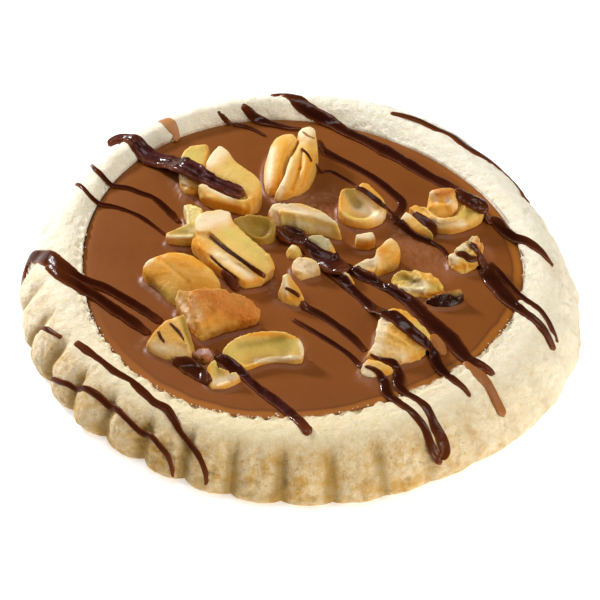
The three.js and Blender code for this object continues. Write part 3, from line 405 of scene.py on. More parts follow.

# ---- Drizzle ----

# Every stroke follows a line read from the photograph and lies on whatever it meets there.
# widths run evenly along it, rise is its height above what it lies on, folds is the number
# of ridges that strands laid side by side leave in it, and bridge is over how many millimetres
# it spans dips instead of following them. sheen is the share of painted pinkish sheen on a dark
# stroke and of pinkish colour on a milk stroke, and satin marks the strokes that shine least.
DARK_STROKES = (
    {"line": ((18, 286), (20, 273), (28, 261), (40, 257), (55, 262), (70, 272), (85, 281), (103, 287),
              (123, 298), (143, 310), (162, 323)),
     "widths": (1.2, 2.4, 3, 3.2, 3.2, 2.6, 2.1, 1.9, 1.9, 1.9, 1.5), "rise": 0.5, "satin": True},
    {"line": ((47, 265), (62, 276), (78, 286), (95, 296), (112, 308), (130, 320), (150, 335)),
     "widths": (1.6, 2.4, 2.6, 2.2, 2.3, 2.1, 1.6), "rise": 0.5, "satin": True},
    {"line": ((214, 350), (223, 358), (232, 364), (240, 371), (248, 380), (260, 390), (279, 404),
              (296, 418), (308, 431), (312, 433)), "widths": (1, 1.9, 2, 1.7, 1.9, 2, 2.1, 2, 2, 2),
     "rise": 0.5, "sheen": 0.3},
    {"line": ((221, 270), (230, 281), (239, 290)), "widths": (0.9, 2.2, 1.4), "rise": 0.5, "sheen": 0.6},
    {"line": ((172, 360), (184, 366), (197, 373), (211, 384)), "widths": (1.2, 3, 3, 1.2), "rise": 0.5},
    {"line": ((76, 184), (88, 194), (98, 203), (115, 207), (138, 216), (153, 226), (166, 236)),
     "widths": (0.7, 1, 1, 0.9, 1, 1, 0.7), "rise": 0.35, "satin": True},
    {"line": ((86, 162), (96, 170), (110, 184), (127, 188), (140, 193), (153, 198), (165, 208), (173, 216),
              (179, 223)), "widths": (0.7, 0.9, 1, 1, 1.1, 1.2, 1.4, 1.6, 1), "rise": 0.4, "satin": True},
    {"line": ((292, 319), (319, 335), (350, 356), (364, 366)), "widths": (0.8, 1.1, 1.2, 1.2),
     "rise": 0.35},
    {"line": ((301, 301), (319, 314), (338, 327), (352, 338), (366, 352)),
     "widths": (1.5, 1.5, 1.6, 1.8, 1.4), "rise": 0.4},
    {"line": ((108, 146), (113, 142), (122, 139), (132, 140), (142, 150), (154, 159), (172, 163),
              (188, 169), (203, 178), (214, 183), (225, 188), (236, 193), (244, 197)),
     "widths": (0.9, 2.2, 3, 4, 4.4, 4.3, 4, 3.8, 3.4, 3.3, 3.3, 3.4, 3), "rise": 1.2, "folds": 3,
     "bridge": 1.5, "sheen": 0.6},
    {"line": ((275, 229), (285, 236), (295, 239), (303, 244), (310, 250), (318, 257), (330, 264),
              (346, 273)), "widths": (2.4, 3.8, 3.2, 2.4, 3.4, 4.6, 4.2, 2.8), "rise": 1.5, "bridge": 2,
     "sheen": 0.2},
    {"line": ((334, 263), (347, 268), (359, 275), (379, 285), (399, 296), (413, 305), (423, 315),
              (434, 326), (448, 337), (458, 349), (466, 358), (476, 364), (487, 370), (494, 377)),
     "widths": (2.4, 2.5, 2.3, 2.3, 2.3, 2.5, 2.9, 3.3, 3.6, 3.4, 2.7, 2.4, 2.2, 1.2), "rise": 0.6,
     "folds": 2},
    {"line": ((330, 270), (347, 285), (361, 298), (374, 309), (384, 312), (395, 318), (406, 327),
              (417, 337), (428, 346), (434, 355), (437, 364), (443, 372), (453, 380), (463, 388),
              (471, 397)),
     "widths": (2, 1.9, 1.9, 1.9, 2.1, 2.3, 2.4, 2.4, 2.3, 2.1, 2.1, 2, 1.7, 1.3, 0.5), "rise": 0.6,
     "bridge": 1.2},
    {"line": ((217, 112), (223, 117), (231, 124)), "widths": (0.8, 1.2, 0.9), "rise": 0.3},
    {"line": ((232, 124), (247, 127), (266, 136)), "widths": (0.9, 0.8, 0.5), "rise": 0.3},
    {"line": ((315, 163), (330, 172), (344, 179), (357, 187)), "widths": (0.6, 0.9, 0.9, 0.9), "rise": 0.3},
    {"line": ((393, 215), (400, 222), (407, 229), (416, 236), (430, 242), (442, 249), (452, 255)),
     "widths": (1.4, 1.6, 1.3, 1, 0.95, 0.9, 0.7), "rise": 0.45},
    {"line": ((476, 258), (484, 266), (492, 280), (504, 295), (518, 308), (533, 319), (544, 331),
              (550, 342), (554, 351)), "widths": (2, 3, 3.3, 3, 2.5, 2, 1.9, 1.8, 1.6), "rise": 0.6,
     "folds": 2},
    {"line": ((490, 262), (499, 272), (511, 286), (523, 298), (537, 308), (547, 320), (553, 332),
              (557, 344)), "widths": (0.9, 1.1, 1.1, 1.1, 1.2, 1.2, 1.2, 1), "rise": 0.4},
    {"line": ((241, 105), (248, 111), (258, 120), (272, 124), (288, 128), (302, 129)),
     "widths": (1.4, 2.2, 2, 1.3, 1.1, 0.8), "rise": 0.45},
    {"line": ((317, 140), (323, 150), (334, 157), (350, 165), (373, 178), (391, 192), (402, 203),
              (400, 211), (393, 217)), "widths": (1.4, 2, 1.8, 1.7, 1.7, 1.8, 1.9, 1.7, 1.3), "rise": 0.45},
    {"line": ((271, 97), (281, 95), (292, 97), (304, 106), (318, 116), (332, 124), (346, 132), (368, 142),
              (391, 154), (410, 165), (430, 177), (446, 185), (460, 193)),
     "widths": (1.4, 2.4, 2.9, 2.8, 2.4, 2.2, 2.4, 3, 2.7, 2.5, 2.4, 2.3, 2.2), "rise": 0.55},
    {"line": ((484, 214), (495, 221), (503, 230), (514, 238), (527, 242), (541, 252), (553, 267)),
     "widths": (2.1, 2.3, 2.3, 2, 1.8, 1.5, 0.4), "rise": 0.5},
    {"line": ((390, 113), (417, 120), (436, 129), (452, 136), (468, 148), (486, 159), (503, 173),
              (519, 187), (529, 204)), "widths": (0.9, 1.7, 1.9, 2, 2.2, 2.1, 1.9, 1.5, 0.6), "rise": 0.5,
     "satin": True},
    {"line": ((75, 342), (89, 352), (100, 360), (114, 371), (130, 381), (143, 392), (154, 402), (166, 408),
              (173, 418), (180, 431), (189, 443), (200, 458), (206, 474), (207, 488)),
     "widths": (1.2, 1.6, 1.2, 1.2, 1.6, 1.6, 1.7, 1.4, 1.6, 1.5, 1.2, 1.2, 1.3, 1.4), "rise": 0.4,
     "satin": True},
    {"line": ((51, 379), (61, 382), (71, 386), (80, 389), (93, 392), (104, 401), (114, 408), (125, 417),
              (136, 428), (148, 435), (159, 445), (168, 456), (172, 469), (174, 478)),
     "widths": (0.8, 1.2, 1.2, 1, 1.3, 1.4, 1.3, 1.2, 1.1, 1.1, 1.1, 1.1, 1.3, 1.3), "rise": 0.4,
     "satin": True},
    {"line": ((42, 329), (48, 330), (55, 334), (62, 338)), "widths": (0.8, 1.1, 0.9, 0.9), "rise": 0.6,
     "satin": True},
    {"line": ((209, 235), (229, 251), (250, 266), (262, 274), (266, 276)),
     "widths": (0.35, 0.6, 0.6, 0.8, 1.1), "rise": 0.18},
    {"line": ((210, 256), (223, 268), (231, 274), (238, 281)), "widths": (0.35, 0.6, 0.9, 1), "rise": 0.2},
    {"line": ((169, 323), (178, 331), (186, 343)), "widths": (0.4, 0.6, 0.4), "rise": 0.2},
    {"line": ((155, 331), (160, 336), (165, 343)), "widths": (0.4, 0.6, 0.4), "rise": 0.2},
    {"line": ((285, 288), (292, 291), (300, 297)), "widths": (0.5, 0.7, 0.7), "rise": 0.25},
    {"line": ((301, 148), (307, 154), (312, 161)), "widths": (0.4, 0.7, 0.4), "rise": 0.15, "bridge": 1},
    {"line": ((469, 243), (474, 246), (479, 253)), "widths": (0.5, 1, 0.8), "rise": 0.25, "bridge": 0.6},
    {"line": ((456, 255), (463, 256), (471, 260), (478, 259)), "widths": (0.5, 0.9, 1.1, 0.9), "rise": 0.25,
     "bridge": 0.6},
    {"line": ((355, 186), (366, 192), (376, 200), (388, 209), (396, 217)), "widths": (0.6, 1, 1, 1, 1.2),
     "rise": 0.5, "bridge": 1.5},
    {"line": ((455, 191), (462, 197), (472, 202), (480, 206), (485, 214)),
     "widths": (2.4, 3.2, 3.4, 3, 2.4), "rise": 1.1, "bridge": 2},
    {"line": ((413, 213), (422, 221), (430, 228), (437, 234)), "widths": (1.1, 1.7, 2, 1.8), "rise": 0.45},
    {"line": ((369, 354), (379, 359), (388, 362), (395, 366), (399, 375), (399, 386), (406, 393),
              (417, 400), (426, 408), (436, 428), (443, 442), (445, 453), (441, 460)),
     "widths": (0.4, 0.6, 1, 1.8, 2, 1.7, 1.4, 1.5, 1.6, 1.6, 1.9, 2.2, 1.4), "rise": 0.45, "bridge": 0.8},
    {"line": ((364, 366), (373, 369), (380, 375), (385, 384), (387, 393), (395, 400), (406, 408),
              (417, 418), (424, 428), (433, 450), (441, 465)),
     "widths": (0.4, 0.8, 1.8, 2, 1.7, 1.3, 1.4, 1.3, 1.3, 1.7, 1), "rise": 0.45, "bridge": 0.8},
)

MILK_STROKES = (
    {"line": ((156, 122), (164, 121), (172, 127), (176, 135), (175, 142)),
     "widths": (1.2, 2.6, 2.6, 1.4, 0.8), "rise": 0.35, "sheen": 1},
    {"line": ((464, 362), (478, 374), (490, 389), (498, 405), (504, 417)), "widths": (1.4, 2, 2, 2, 2.2),
     "rise": 0.5, "sheen": 0.2},
    {"line": ((302, 131), (308, 136), (315, 138)), "widths": (0.3, 0.5, 0.3), "rise": 0.1, "bridge": 1,
     "sheen": 0.6},
    {"line": ((432, 334), (438, 344), (444, 356)), "widths": (1.6, 2.4, 1.2), "rise": 0.5, "sheen": 0.28},
)

# Arcs of the crust's inner edge where crumbs lie: first and last angle in degrees, count.
CRUMBS = ((-175, -95, 130), (-95, -20, 40), (150, 184, 40), (60, 140, 24))
CRUMB_SIZES = (0.06, 0.21)
CRUMB_SPREAD = 0.7
CRUMB_PLACE = 0.15  # how far outside the edge most of them lie
CRUMB_UNEVEN = (0.6, 1.2)  # least and greatest share by which a corner stands out
CRUMB_SEED = 7

# Where the filling set in fine wrinkles, with bloom and a painted pinkish sheen: x, y, x, y and reach in
# the photograph.
WRINKLES = (
    (280, 200, 340, 204, 9),
    (318, 196, 334, 208, 8),
    (386, 214, 416, 258, 9),
    (404, 236, 446, 262, 6),
    (428, 268, 448, 276, 7),
    (300, 340, 309, 362, 5),
    (360, 376, 374, 384, 5),
    (140, 346, 148, 334, 4),
    (142, 278, 160, 296, 4),
    (172, 182, 184, 200, 4),
    (334, 188, 334, 214, 4),
    (484, 244, 490, 256, 5),
    (270, 282, 278, 300, 5),
)

WRINKLE_RISE = 0.3
COVERED_RISE = 0.4  # a nut covers the filling where it stands at least so much above it
CLIMB_CELLS = 3  # cells of the terrain over which the filling climbs to a nut

STROKE_STEP = 0.3
STROKE_SIDES = 32
STROKE_DEPTH = 0.3
SHORT_STEPS = 14  # a stroke of fewer steps has them closer together at its ends
STROKE_FADE = 1.8  # length over which a stroke's end is as thin as its edges
STROKE_ARCH = 0.7  # power of its arch: 1 is half an ellipse, and less is fuller
STROKE_END = 0.55  # share of its rise that is left towards a closed end
FOLD_DEPTH = 0.55  # how deep folds are cut in, as a share of the rise
LINE_SPOTS = 400
BRIDGE_SPOTS = 120
BRIDGE_SINK = 0.1  # how far a stroke that spans dips may sink below its line
BRIDGE_RIDE = 0.8  # how far it may rise above its line
SLOPE_REACH = 0.6  # distance to either side at which a stroke's slope is read
SLOPE_LIMIT = 2.5
TERRAIN_CELL = 0.15
TERRAIN_HALF = 54.0
SOFT_CELLS = 3  # cells over which the terrain is blurred under strokes
STEEPEST = 3.5  # rise over run that a stroke's own slope never passes

# ---- Lights, floor and camera ----

# name, place and size in metres, the setting that holds its watts, its share of them, colour
LIGHTS = (
    ("key", (-0.39, 0.38, 0.27), 0.08, "key", 1, (0.97, 0.98, 1)),
    ("low fill", (0.41, -0.41, 0.17), 0.3, "fill", 1, (1, 0.95, 0.84)),
    ("top", (0, 0.05, 0.6), 0.25, "top", 1, (1, 1, 1)),
    ("right", (0.42, 0, 0.42), 0.25, "top", 0.75, (1, 1, 1)),
    ("left", (-0.42, 0, 0.42), 0.25, "top", 0.6, (1, 1, 1)),
)
FLOOR_HALF = 1.5  # metres
FLOOR_DIM = (0.93, 0.93, 0.93)
CAMERA_NEAR = 0.01  # metres


# ---- Numbers ----


def lerp(start, end, share):
    """The value that lies share of the way from start to end."""
    return start + (end - start) * share


def smooth_step(values, low, high):
    """0 below low, 1 above high and an even S between them."""
    share = np.clip((values - low) / (high - low), 0, 1)
    return share * share * (3 - 2 * share)


def unit(vectors):
    """The same directions with length 1."""
    return vectors / np.maximum(np.linalg.norm(vectors, axis=-1, keepdims=True), 1e-9)


def around(angle, radius, height):
    """Points at some angles about the upright axis, some radii from it and some heights."""
    return np.stack([radius * np.cos(angle), radius * np.sin(angle), height + 0 * angle], -1)


def facing(angle, side, low, high):
    """1 where the tartlet looks to one side and 0 away from it: a smooth step of the cosine."""
    return smooth_step(np.cos(angle - side), low, high)


def polar(points):
    """The angles of points about the upright axis and their distances from it."""
    return np.arctan2(points[..., 1], points[..., 0]), np.hypot(points[..., 0], points[..., 1])


def lattice(cells, seed):
    """A repeatable number from 0 to 1 for every whole-number cell, mixed by large primes."""
    x, y, z = (cells[..., axis].astype(np.int64) for axis in range(3))
    mixed = (x * 73856093) ^ (y * 19349663) ^ (z * 83492791) ^ (seed * 2654435761)
    mixed = (mixed ^ (mixed >> 13)) * 1274126177
    mixed = mixed ^ (mixed >> 16)
    return (mixed & 0xFFFFFF) / 0xFFFFFF


def noise(points, size, seed=0):
    """Soft lumps of one size from -1 to 1: random values at lattice corners, blended between."""
    spot = points / size
    low = np.floor(spot)
    part = spot - low
    part = part * part * (3 - 2 * part)
    total = 0
    for corner in np.ndindex(2, 2, 2):
        weight = np.prod(np.where(corner, part, 1 - part), axis=-1)
        total = total + weight * lattice(low + corner, seed)
    return 2 * total - 1


def rough(points, size, layers, seed=0):
    """Layers of noise, each half the size and half the height of the one before."""
    return sum(noise(points, size / 2**layer, seed + layer) / 2**layer for layer in range(layers))


# ---- The tartlet's own surfaces ----


def waves(table, angle):
    """Waves round a ring: for each row, cosine and sine parts of its number of turns."""
    return sum(c * np.cos(turns * angle) + s * np.sin(turns * angle) for turns, c, s in table)


def widest_radius(angle):
    """The crust's radius at its widest ring."""
    return CRUST_RADIUS + waves(CRUST_WAVES, angle)


def filling_radius(angle):
    """The radius of the crust's inner edge."""
    return FILLING_RADIUS + waves(FILLING_WAVES, angle)


def crest_radius(angle):
    """The radius of the rim's highest line."""
    return lerp(filling_radius(angle), widest_radius(angle), CREST_SHARE)


def crest_height(angle):
    """The height of the rim's highest line."""
    return FILLING_LEVEL + CREST_RISE + waves(CREST_WAVES, angle)


def groove(angle):
    """1 in a groove between two flutes and 0 along the middle of a lobe: one less a sine's size."""
    return (1 - np.abs(np.sin(FLUTES / 2 * (angle - FLUTE_TURN)))) ** GROOVE_SHARPNESS


def groove_depth(angle, down):
    """How deep a groove is at an angle, and from the crest (0) down to the widest ring (1)."""
    deepest = 0.5 + 0.5 * np.cos(angle - FLUTE_DEEPEST)
    fade = smooth_step(down, FLUTE_START, 3 * FLUTE_START + 0.2)
    return (FLUTE_SHALLOW + FLUTE_EXTRA * deepest**FLUTE_FOCUS) * fade * groove(angle)


def wall(angle, down):
    """Radius and height of the wall: a quarter of a superellipse from crest to widest ring."""
    out = np.sin(down * math.pi / 2)
    up = np.abs(np.cos(down * math.pi / 2))
    depth = groove_depth(angle, down)
    radius = lerp(crest_radius(angle), widest_radius(angle), out**SHOULDER_POWER)
    height = lerp(WIDEST_HEIGHT, crest_height(angle), up**SHOULDER_POWER)
    return radius - depth * out, height - depth * up


def rim_height(angle, share):
    """The rim's rise from its inner edge (0) to the crest (1), a quarter of a sine."""
    return lerp(FILLING_LEVEL + LIP_RISE, crest_height(angle), np.sin(share * math.pi / 2))


def surface_height(x, y):
    """The bare tartlet's height under a point seen from above: filling, rim, then wall."""
    radius = np.hypot(x, y)
    angle = np.arctan2(y, x)
    inner = filling_radius(angle)
    crest = crest_radius(angle)
    rim = rim_height(angle, np.clip((radius - inner) / (crest - inner), 0, 1))
    share = np.clip((radius - crest) / (widest_radius(angle) - crest), 0, 1)
    down = np.arcsin(share ** (1 / SHOULDER_POWER)) / (math.pi / 2)
    side = wall(angle, down)[1] - groove_depth(angle, down) * share
    height = np.where(radius < inner, FILLING_LEVEL, np.where(radius < crest, rim, side))
    return np.where(radius < widest_radius(angle) + 0.2, height, 0)


# ---- The photograph and the tartlet ----

SIGHT = np.array([0, math.cos(CAMERA_HEIGHT_ANGLE), -math.sin(CAMERA_HEIGHT_ANGLE)])
SIGHT_UP = np.array([0, math.sin(CAMERA_HEIGHT_ANGLE), math.cos(CAMERA_HEIGHT_ANGLE)])


def pixels_of(points):
    """Where points show in the photograph: over their depth, turned by the roll, from its middle."""
    depth = CAMERA_DISTANCE + points @ SIGHT
    across = FOCAL_PIXELS * points[..., 0] / depth
    down = -FOCAL_PIXELS * (points @ SIGHT_UP) / depth
    turned_x = math.cos(CAMERA_ROLL) * across - math.sin(CAMERA_ROLL) * down
    turned_y = math.sin(CAMERA_ROLL) * across + math.cos(CAMERA_ROLL) * down
    return np.stack([MIDDLE_PIXEL[0] + turned_x, MIDDLE_PIXEL[1] + turned_y], -1)


def sight_lines(pixels):
    """The ways in which lines of sight run through some pixels."""
    offset = np.asarray(pixels, float) - MIDDLE_PIXEL
    across = math.cos(CAMERA_ROLL) * offset[:, 0] + math.sin(CAMERA_ROLL) * offset[:, 1]
    down = -math.sin(CAMERA_ROLL) * offset[:, 0] + math.cos(CAMERA_ROLL) * offset[:, 1]
    right = np.array([1.0, 0, 0])
    return SIGHT + across[:, None] / FOCAL_PIXELS * right - down[:, None] / FOCAL_PIXELS * SIGHT_UP


def at_height(pixels, heights):
    """The points at some heights that show at some pixels."""
    ways = sight_lines(pixels)
    eye = -SIGHT * CAMERA_DISTANCE
    return eye + ways * ((heights - eye[2]) / ways[:, 2])[:, None]


def seen_at(pixels, terrain):
    """The first points of the terrain that lines of sight through some pixels come to. A
    pixel whose line passes the tartlet by moves towards the middle until its line meets it."""
    pixels = np.asarray(pixels, float)
    eye = -SIGHT * CAMERA_DISTANCE
    heights = np.linspace(SIGHT_TOP, 0, SIGHT_STEPS)
    for _ in range(SIGHT_TRIES):
        ways = sight_lines(pixels)
        steps = (heights - eye[2]) / ways[:, 2:3]
        points = eye + ways[:, None, :] * steps[..., None]
        ground = terrain.height(points[..., 0], points[..., 1])
        met = (points[..., 2] <= ground) & (ground > WIDEST_HEIGHT)
        missed = ~met.any(axis=1)
        if not missed.any():
            break
        inward = unit(np.array(MIDDLE_PIXEL) - pixels)
        pixels = pixels + np.where(missed, INWARD_STEP, 0)[:, None] * inward
    return points[np.arange(len(points)), np.argmax(met, axis=1)]


def near_line(pixels, line):
    """A soft spot along a line between two pixels: a bell of the distance over its reach."""
    x0, y0, x1, y1, reach = line
    start = np.array([x0, y0])
    way = np.array([x1 - x0, y1 - y0])
    share = np.clip(((pixels - start) @ way) / max(way @ way, 1e-6), 0, 1)
    distance = np.linalg.norm(pixels - start - share[..., None] * way, axis=-1)
    return np.exp(-((distance / reach) ** 2))


# ---- Curves and meshes ----


def along(values, share):
    """Reads a list of values spaced evenly from 0 to 1."""
    return np.interp(share, np.linspace(0, 1, len(values)), values)


def curve_at(path, share):
    """Points of a centripetal Catmull-Rom curve, which passes through every point of its path."""
    path = np.asarray(path, float)
    ends = np.vstack([2 * path[0] - path[1], path, 2 * path[-1] - path[-2]])
    at = np.clip(share, 0, 1) * (len(path) - 1)
    before = np.minimum(at.astype(int), len(path) - 2)
    part = (at - before)[..., None]
    p0, p1, p2, p3 = (ends[before + step] for step in range(4))
    pairs = ((p0, p1), (p1, p2), (p2, p3))
    d0, d1, d2 = (np.linalg.norm(b - a, axis=-1, keepdims=True) ** 0.5 for a, b in pairs)
    leave = d1 * ((p1 - p0) / d0 - (p2 - p0) / (d0 + d1) + (p2 - p1) / d1)
    arrive = d1 * ((p2 - p1) / d1 - (p3 - p1) / (d1 + d2) + (p3 - p2) / d2)
    cubic = 2 * p1 - 2 * p2 + leave + arrive
    square = -3 * p1 + 3 * p2 - 2 * leave - arrive
    return ((cubic * part + square) * part + leave) * part + p1


def closed_faces(rows, columns):
    """Quads between closed rings of corners and triangles to the point at either end."""
    here = np.arange(columns)
    following = np.roll(here, -1)
    rings = 1 + np.arange(rows - 2)[:, None] * columns
    below = rings[:-1]
    above = rings[1:]
    quads = np.stack([below + here, below + following, above + following, above + here], -1)
    last = 1 + (rows - 2) * columns
    tip = np.stack([0 * here, rings[0] + following, rings[0] + here], -1)
    tail = np.stack([np.full(columns, last), rings[-1] + here, rings[-1] + following], -1)
    return quads.reshape(-1, 4), np.vstack([tip, tail])


def closed_corners(grid):
    """The corners of a grid of rings, whose first and last rings close to a point."""
    return np.vstack([grid[0].mean(0), grid[1:-1].reshape(-1, 3), grid[-1].mean(0)])


def closed_values(grid):
    """Values of a grid of rings in the order of its closed corners."""
    return np.concatenate([[grid[0, 0]], grid[1:-1].ravel(), [grid[-1, 0]]])


def outward(corners, quads, triangles):
    """Turns all faces round where the volume they enclose comes out negative."""
    split = np.vstack([triangles, quads[:, [0, 1, 2]], quads[:, [0, 2, 3]]])
    a, b, c = (corners[split[:, corner]] for corner in range(3))
    if np.einsum("ij,ij->i", a, np.cross(b, c)).sum() < 0:
        return quads[:, ::-1], triangles[:, ::-1]
    return quads, triangles


def joined(grids):
    """Corners, quads and triangles of some grids of rings, each a closed form of its own."""
    corners = []
    quads = []
    triangles = []
    start = 0
    for grid in grids:
        found = closed_corners(grid)
        its_quads, its_triangles = outward(found, *closed_faces(*grid.shape[:2]))
        corners.append(found)
        quads.append(its_quads + start)
        triangles.append(its_triangles + start)
        start += len(found)
    return np.vstack(corners), np.vstack(quads), np.vstack(triangles)


def put_corners(mesh, corners):
    """Gives a mesh its corners, in millimetres before the last shift."""
    placed = (corners - OUTLINE_MIDDLE) * MM
    mesh.vertices.foreach_set("co", placed.astype(np.float32).ravel())


def read_rows(source, field):
    """Rows of three values, one for each corner of a mesh."""
    values = np.empty(len(source) * 3, np.float32)
    source.foreach_get(field, values)
    return values.reshape(-1, 3).astype(float)


def corners_of(mesh):
    """A mesh's corners, in millimetres before the last shift."""
    return read_rows(mesh.vertices, "co") / MM + OUTLINE_MIDDLE


def write_mesh(name, corners, quads, triangles):
    """A mesh of quads and triangles, its corners given in millimetres before the last shift."""
    mesh = bpy.data.meshes.new(name)
    loops = np.concatenate([quads.ravel(), triangles.ravel()]).astype(np.int32)
    counts = np.concatenate([np.full(len(quads), 4), np.full(len(triangles), 3)])
    starts = np.concatenate([[0], np.cumsum(counts)[:-1]]).astype(np.int32)
    mesh.vertices.add(len(corners))
    put_corners(mesh, corners)
    mesh.loops.add(len(loops))
    mesh.loops.foreach_set("vertex_index", loops)
    mesh.polygons.add(len(counts))
    mesh.polygons.foreach_set("loop_start", starts)
    mesh.update(calc_edges=True)
    mesh.validate()
    mesh.shade_smooth()
    return mesh


def add_mask(mesh, name, masks):
    """Keeps up to four masks from 0 to 1 as one colour attribute of the corners."""
    values = np.zeros((len(mesh.vertices), 4), np.float32)
    for place, mask in enumerate(masks):
        values[:, place] = np.clip(mask, 0, 1)
    attribute = mesh.attributes.new(name, "FLOAT_COLOR", "POINT")
    attribute.data.foreach_set("color", values.ravel())


def place_piece(name, mesh, material, replaced=()):
    """Shows a mesh as a piece that rides on the tartlet and stands for some of its solids."""
    piece = bpy.data.objects.new(name, mesh)
    bpy.context.scene.collection.objects.link(piece)
    mesh.materials.append(material)
    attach(piece, BODY)
    if replaced:
        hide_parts(*replaced)


def grid_normals(grid):
    """Unit normals of a grid of rings, from the cross product of its two directions."""
    along_ring = np.roll(grid, -1, axis=1) - np.roll(grid, 1, axis=1)
    return unit(np.cross(along_ring, np.gradient(grid, axis=0)))


# ---- Terrain ----


def blur(field, reach):
    """A soft blur of a grid: three passes of a moving mean in both directions."""
    for _ in range(3):
        for axis in (0, 1):
            total = sum(np.roll(field, step, axis) for step in range(-reach, reach + 1))
            field = total / (2 * reach + 1)
    return field


class Terrain:
    """Heights of the tartlet and of what lies on it, on an even grid seen from above."""

    def __init__(self):
        count = int(2 * TERRAIN_HALF / TERRAIN_CELL) + 1
        axis = np.linspace(-TERRAIN_HALF, TERRAIN_HALF, count)
        self.field = surface_height(*np.meshgrid(axis, axis))

    def place(self, x, y):
        """Row and column of a point, with parts of a cell."""
        top = len(self.field) - 1.001
        column = np.clip((x + TERRAIN_HALF) / TERRAIN_CELL, 0, top)
        row = np.clip((y + TERRAIN_HALF) / TERRAIN_CELL, 0, top)
        return row, column

    def raise_to(self, corners):
        """Lifts the cells under some corners to their height, with the cells beside them."""
        row, column = (np.round(value).astype(int) for value in self.place(corners[:, 0], corners[:, 1]))
        lifted = np.zeros_like(self.field)
        np.maximum.at(lifted, (row, column), corners[:, 2])
        for axis in (0, 1):
            shifted = [np.roll(lifted, step, axis) for step in (-1, 0, 1)]
            lifted = np.max(shifted, axis=0)
        self.field = np.maximum(self.field, lifted)

    def read(self, field, x, y):
        """A grid's value at points between its cells."""
        row, column = self.place(x, y)
        r = row.astype(int)
        c = column.astype(int)
        dr = row - r
        dc = column - c
        low = lerp(field[r, c], field[r, c + 1], dc)
        high = lerp(field[r + 1, c], field[r + 1, c + 1], dc)
        return lerp(low, high, dr)

    def height(self, x, y):
        """The height under points seen from above."""
        return self.read(self.field, x, y)

    def normals(self, x, y):
        """Unit normals at points, from heights a little to each side."""
        step = 2 * TERRAIN_CELL
        slope_x = (self.height(x + step, y) - self.height(x - step, y)) / (2 * step)
        slope_y = (self.height(x, y + step) - self.height(x, y - step)) / (2 * step)
        slope = np.maximum(np.hypot(slope_x, slope_y), 1e-9)
        held = np.minimum(slope, STEEPEST) / slope
        return unit(np.stack([-slope_x * held, -slope_y * held, np.ones_like(slope)], -1))


# ---- Materials ----


def linear(code):
    """A colour code as three linear values, by the usual screen curve."""
    parts = [int(code[start : start + 2], 16) / 255 for start in (1, 3, 5)]
    return tuple(part / 12.92 if part <= 0.04045 else ((part + 0.055) / 1.055) ** 2.4 for part in parts)


class Tone:
    """A socket of a material, on which sums make the nodes that work them out."""

    def __init__(self, finish, socket):
        self.finish = finish
        self.socket = socket

    def maths(self, operation, first, second):
        return self.finish.node("ShaderNodeMath", {"operation": operation}, {0: first, 1: second})

    def __add__(self, other):
        return self.maths("ADD", self, other)

    def __radd__(self, other):
        return self.maths("ADD", other, self)

    def __sub__(self, other):
        return self.maths("SUBTRACT", self, other)

    def __rsub__(self, other):
        return self.maths("SUBTRACT", other, self)

    def __mul__(self, other):
        return self.maths("MULTIPLY", self, other)

    def __rmul__(self, other):
        return self.maths("MULTIPLY", other, self)


class Finish:
    """A new material with one surface shader, and the ways to add nodes to it."""

    def __init__(self, name, **fixed):
        self.material = bpy.data.materials.new(name)
        self.material.use_nodes = True
        self.tree = self.material.node_tree
        self.shader = self.tree.nodes["Principled BSDF"]
        for socket, value in fixed.items():
            self.shader.inputs[socket.replace("_", " ")].default_value = value
        self.place = self.node("ShaderNodeTexCoord", {}, {}, "Object")

    def put(self, socket, value):
        """Gives a socket a value, or a link where the value is a tone."""
        if isinstance(value, Tone):
            self.tree.links.new(value.socket, socket)
        elif socket.type == "RGBA" and len(value) == 3:
            socket.default_value = (*value, 1)
        else:
            socket.default_value = value

    def node(self, kind, settings, inputs, output=0):
        """Adds a node: its settings first, then the values or links of its sockets."""
        node = self.tree.nodes.new(kind)
        for name, value in settings.items():
            setattr(node, name, value)
        for socket, value in inputs.items():
            self.put(node.inputs[socket], value)
        return Tone(self, node.outputs[output])

    def mix(self, share, first, second):
        """A colour that lies share of the way from the first to the second."""
        settings = {"data_type": "RGBA", "blend_type": "MIX"}
        return self.node("ShaderNodeMix", settings, {0: share, 6: first, 7: second}, 2)

    def layers(self, toned, *over):
        """Colours laid over a first one, each with the share that it takes of what is below."""
        for share, colour in over:
            toned = self.mix(share, toned, colour)
        return toned

    def specks(self, size, detail=2.0, roughness=0.5, seed=0.0):
        """Noise from 0 to 1 whose lumps are about size millimetres across."""
        shift = {0: self.place, 1: (seed, seed, seed)}
        shifted = self.node("ShaderNodeVectorMath", {"operation": "ADD"}, shift)
        sockets = {"Vector": shifted, "Scale": 1 / (size * MM), "Detail": detail, "Roughness": roughness}
        return self.node("ShaderNodeTexNoise", {}, sockets)

    def between(self, value, low, high):
        """A value's place between low and high, from 0 to 1, with soft ends."""
        settings = {"interpolation_type": "SMOOTHSTEP"}
        return self.node("ShaderNodeMapRange", settings, {0: value, 1: low, 2: high})

    def masks(self, name):
        """The four masks that a colour attribute of the mesh holds."""
        attribute = self.node("ShaderNodeAttribute", {"attribute_name": name}, {})
        parts = [self.node("ShaderNodeSeparateColor", {}, {0: attribute}, part) for part in range(3)]
        fourth = self.node("ShaderNodeAttribute", {"attribute_name": name}, {}, "Alpha")
        return (*parts, fourth)

    def bump(self, height, depth, strength=1.0):
        """Fine relief: a height from 0 to 1, depth millimetres high."""
        sockets = {"Height": height, "Distance": depth * MM, "Strength": strength}
        self.put(self.shader.inputs["Normal"], self.node("ShaderNodeBump", {}, sockets))

    def colour(self, value):
        self.put(self.shader.inputs["Base Color"], value)

    def roughness(self, value):
        self.put(self.shader.inputs["Roughness"], value)


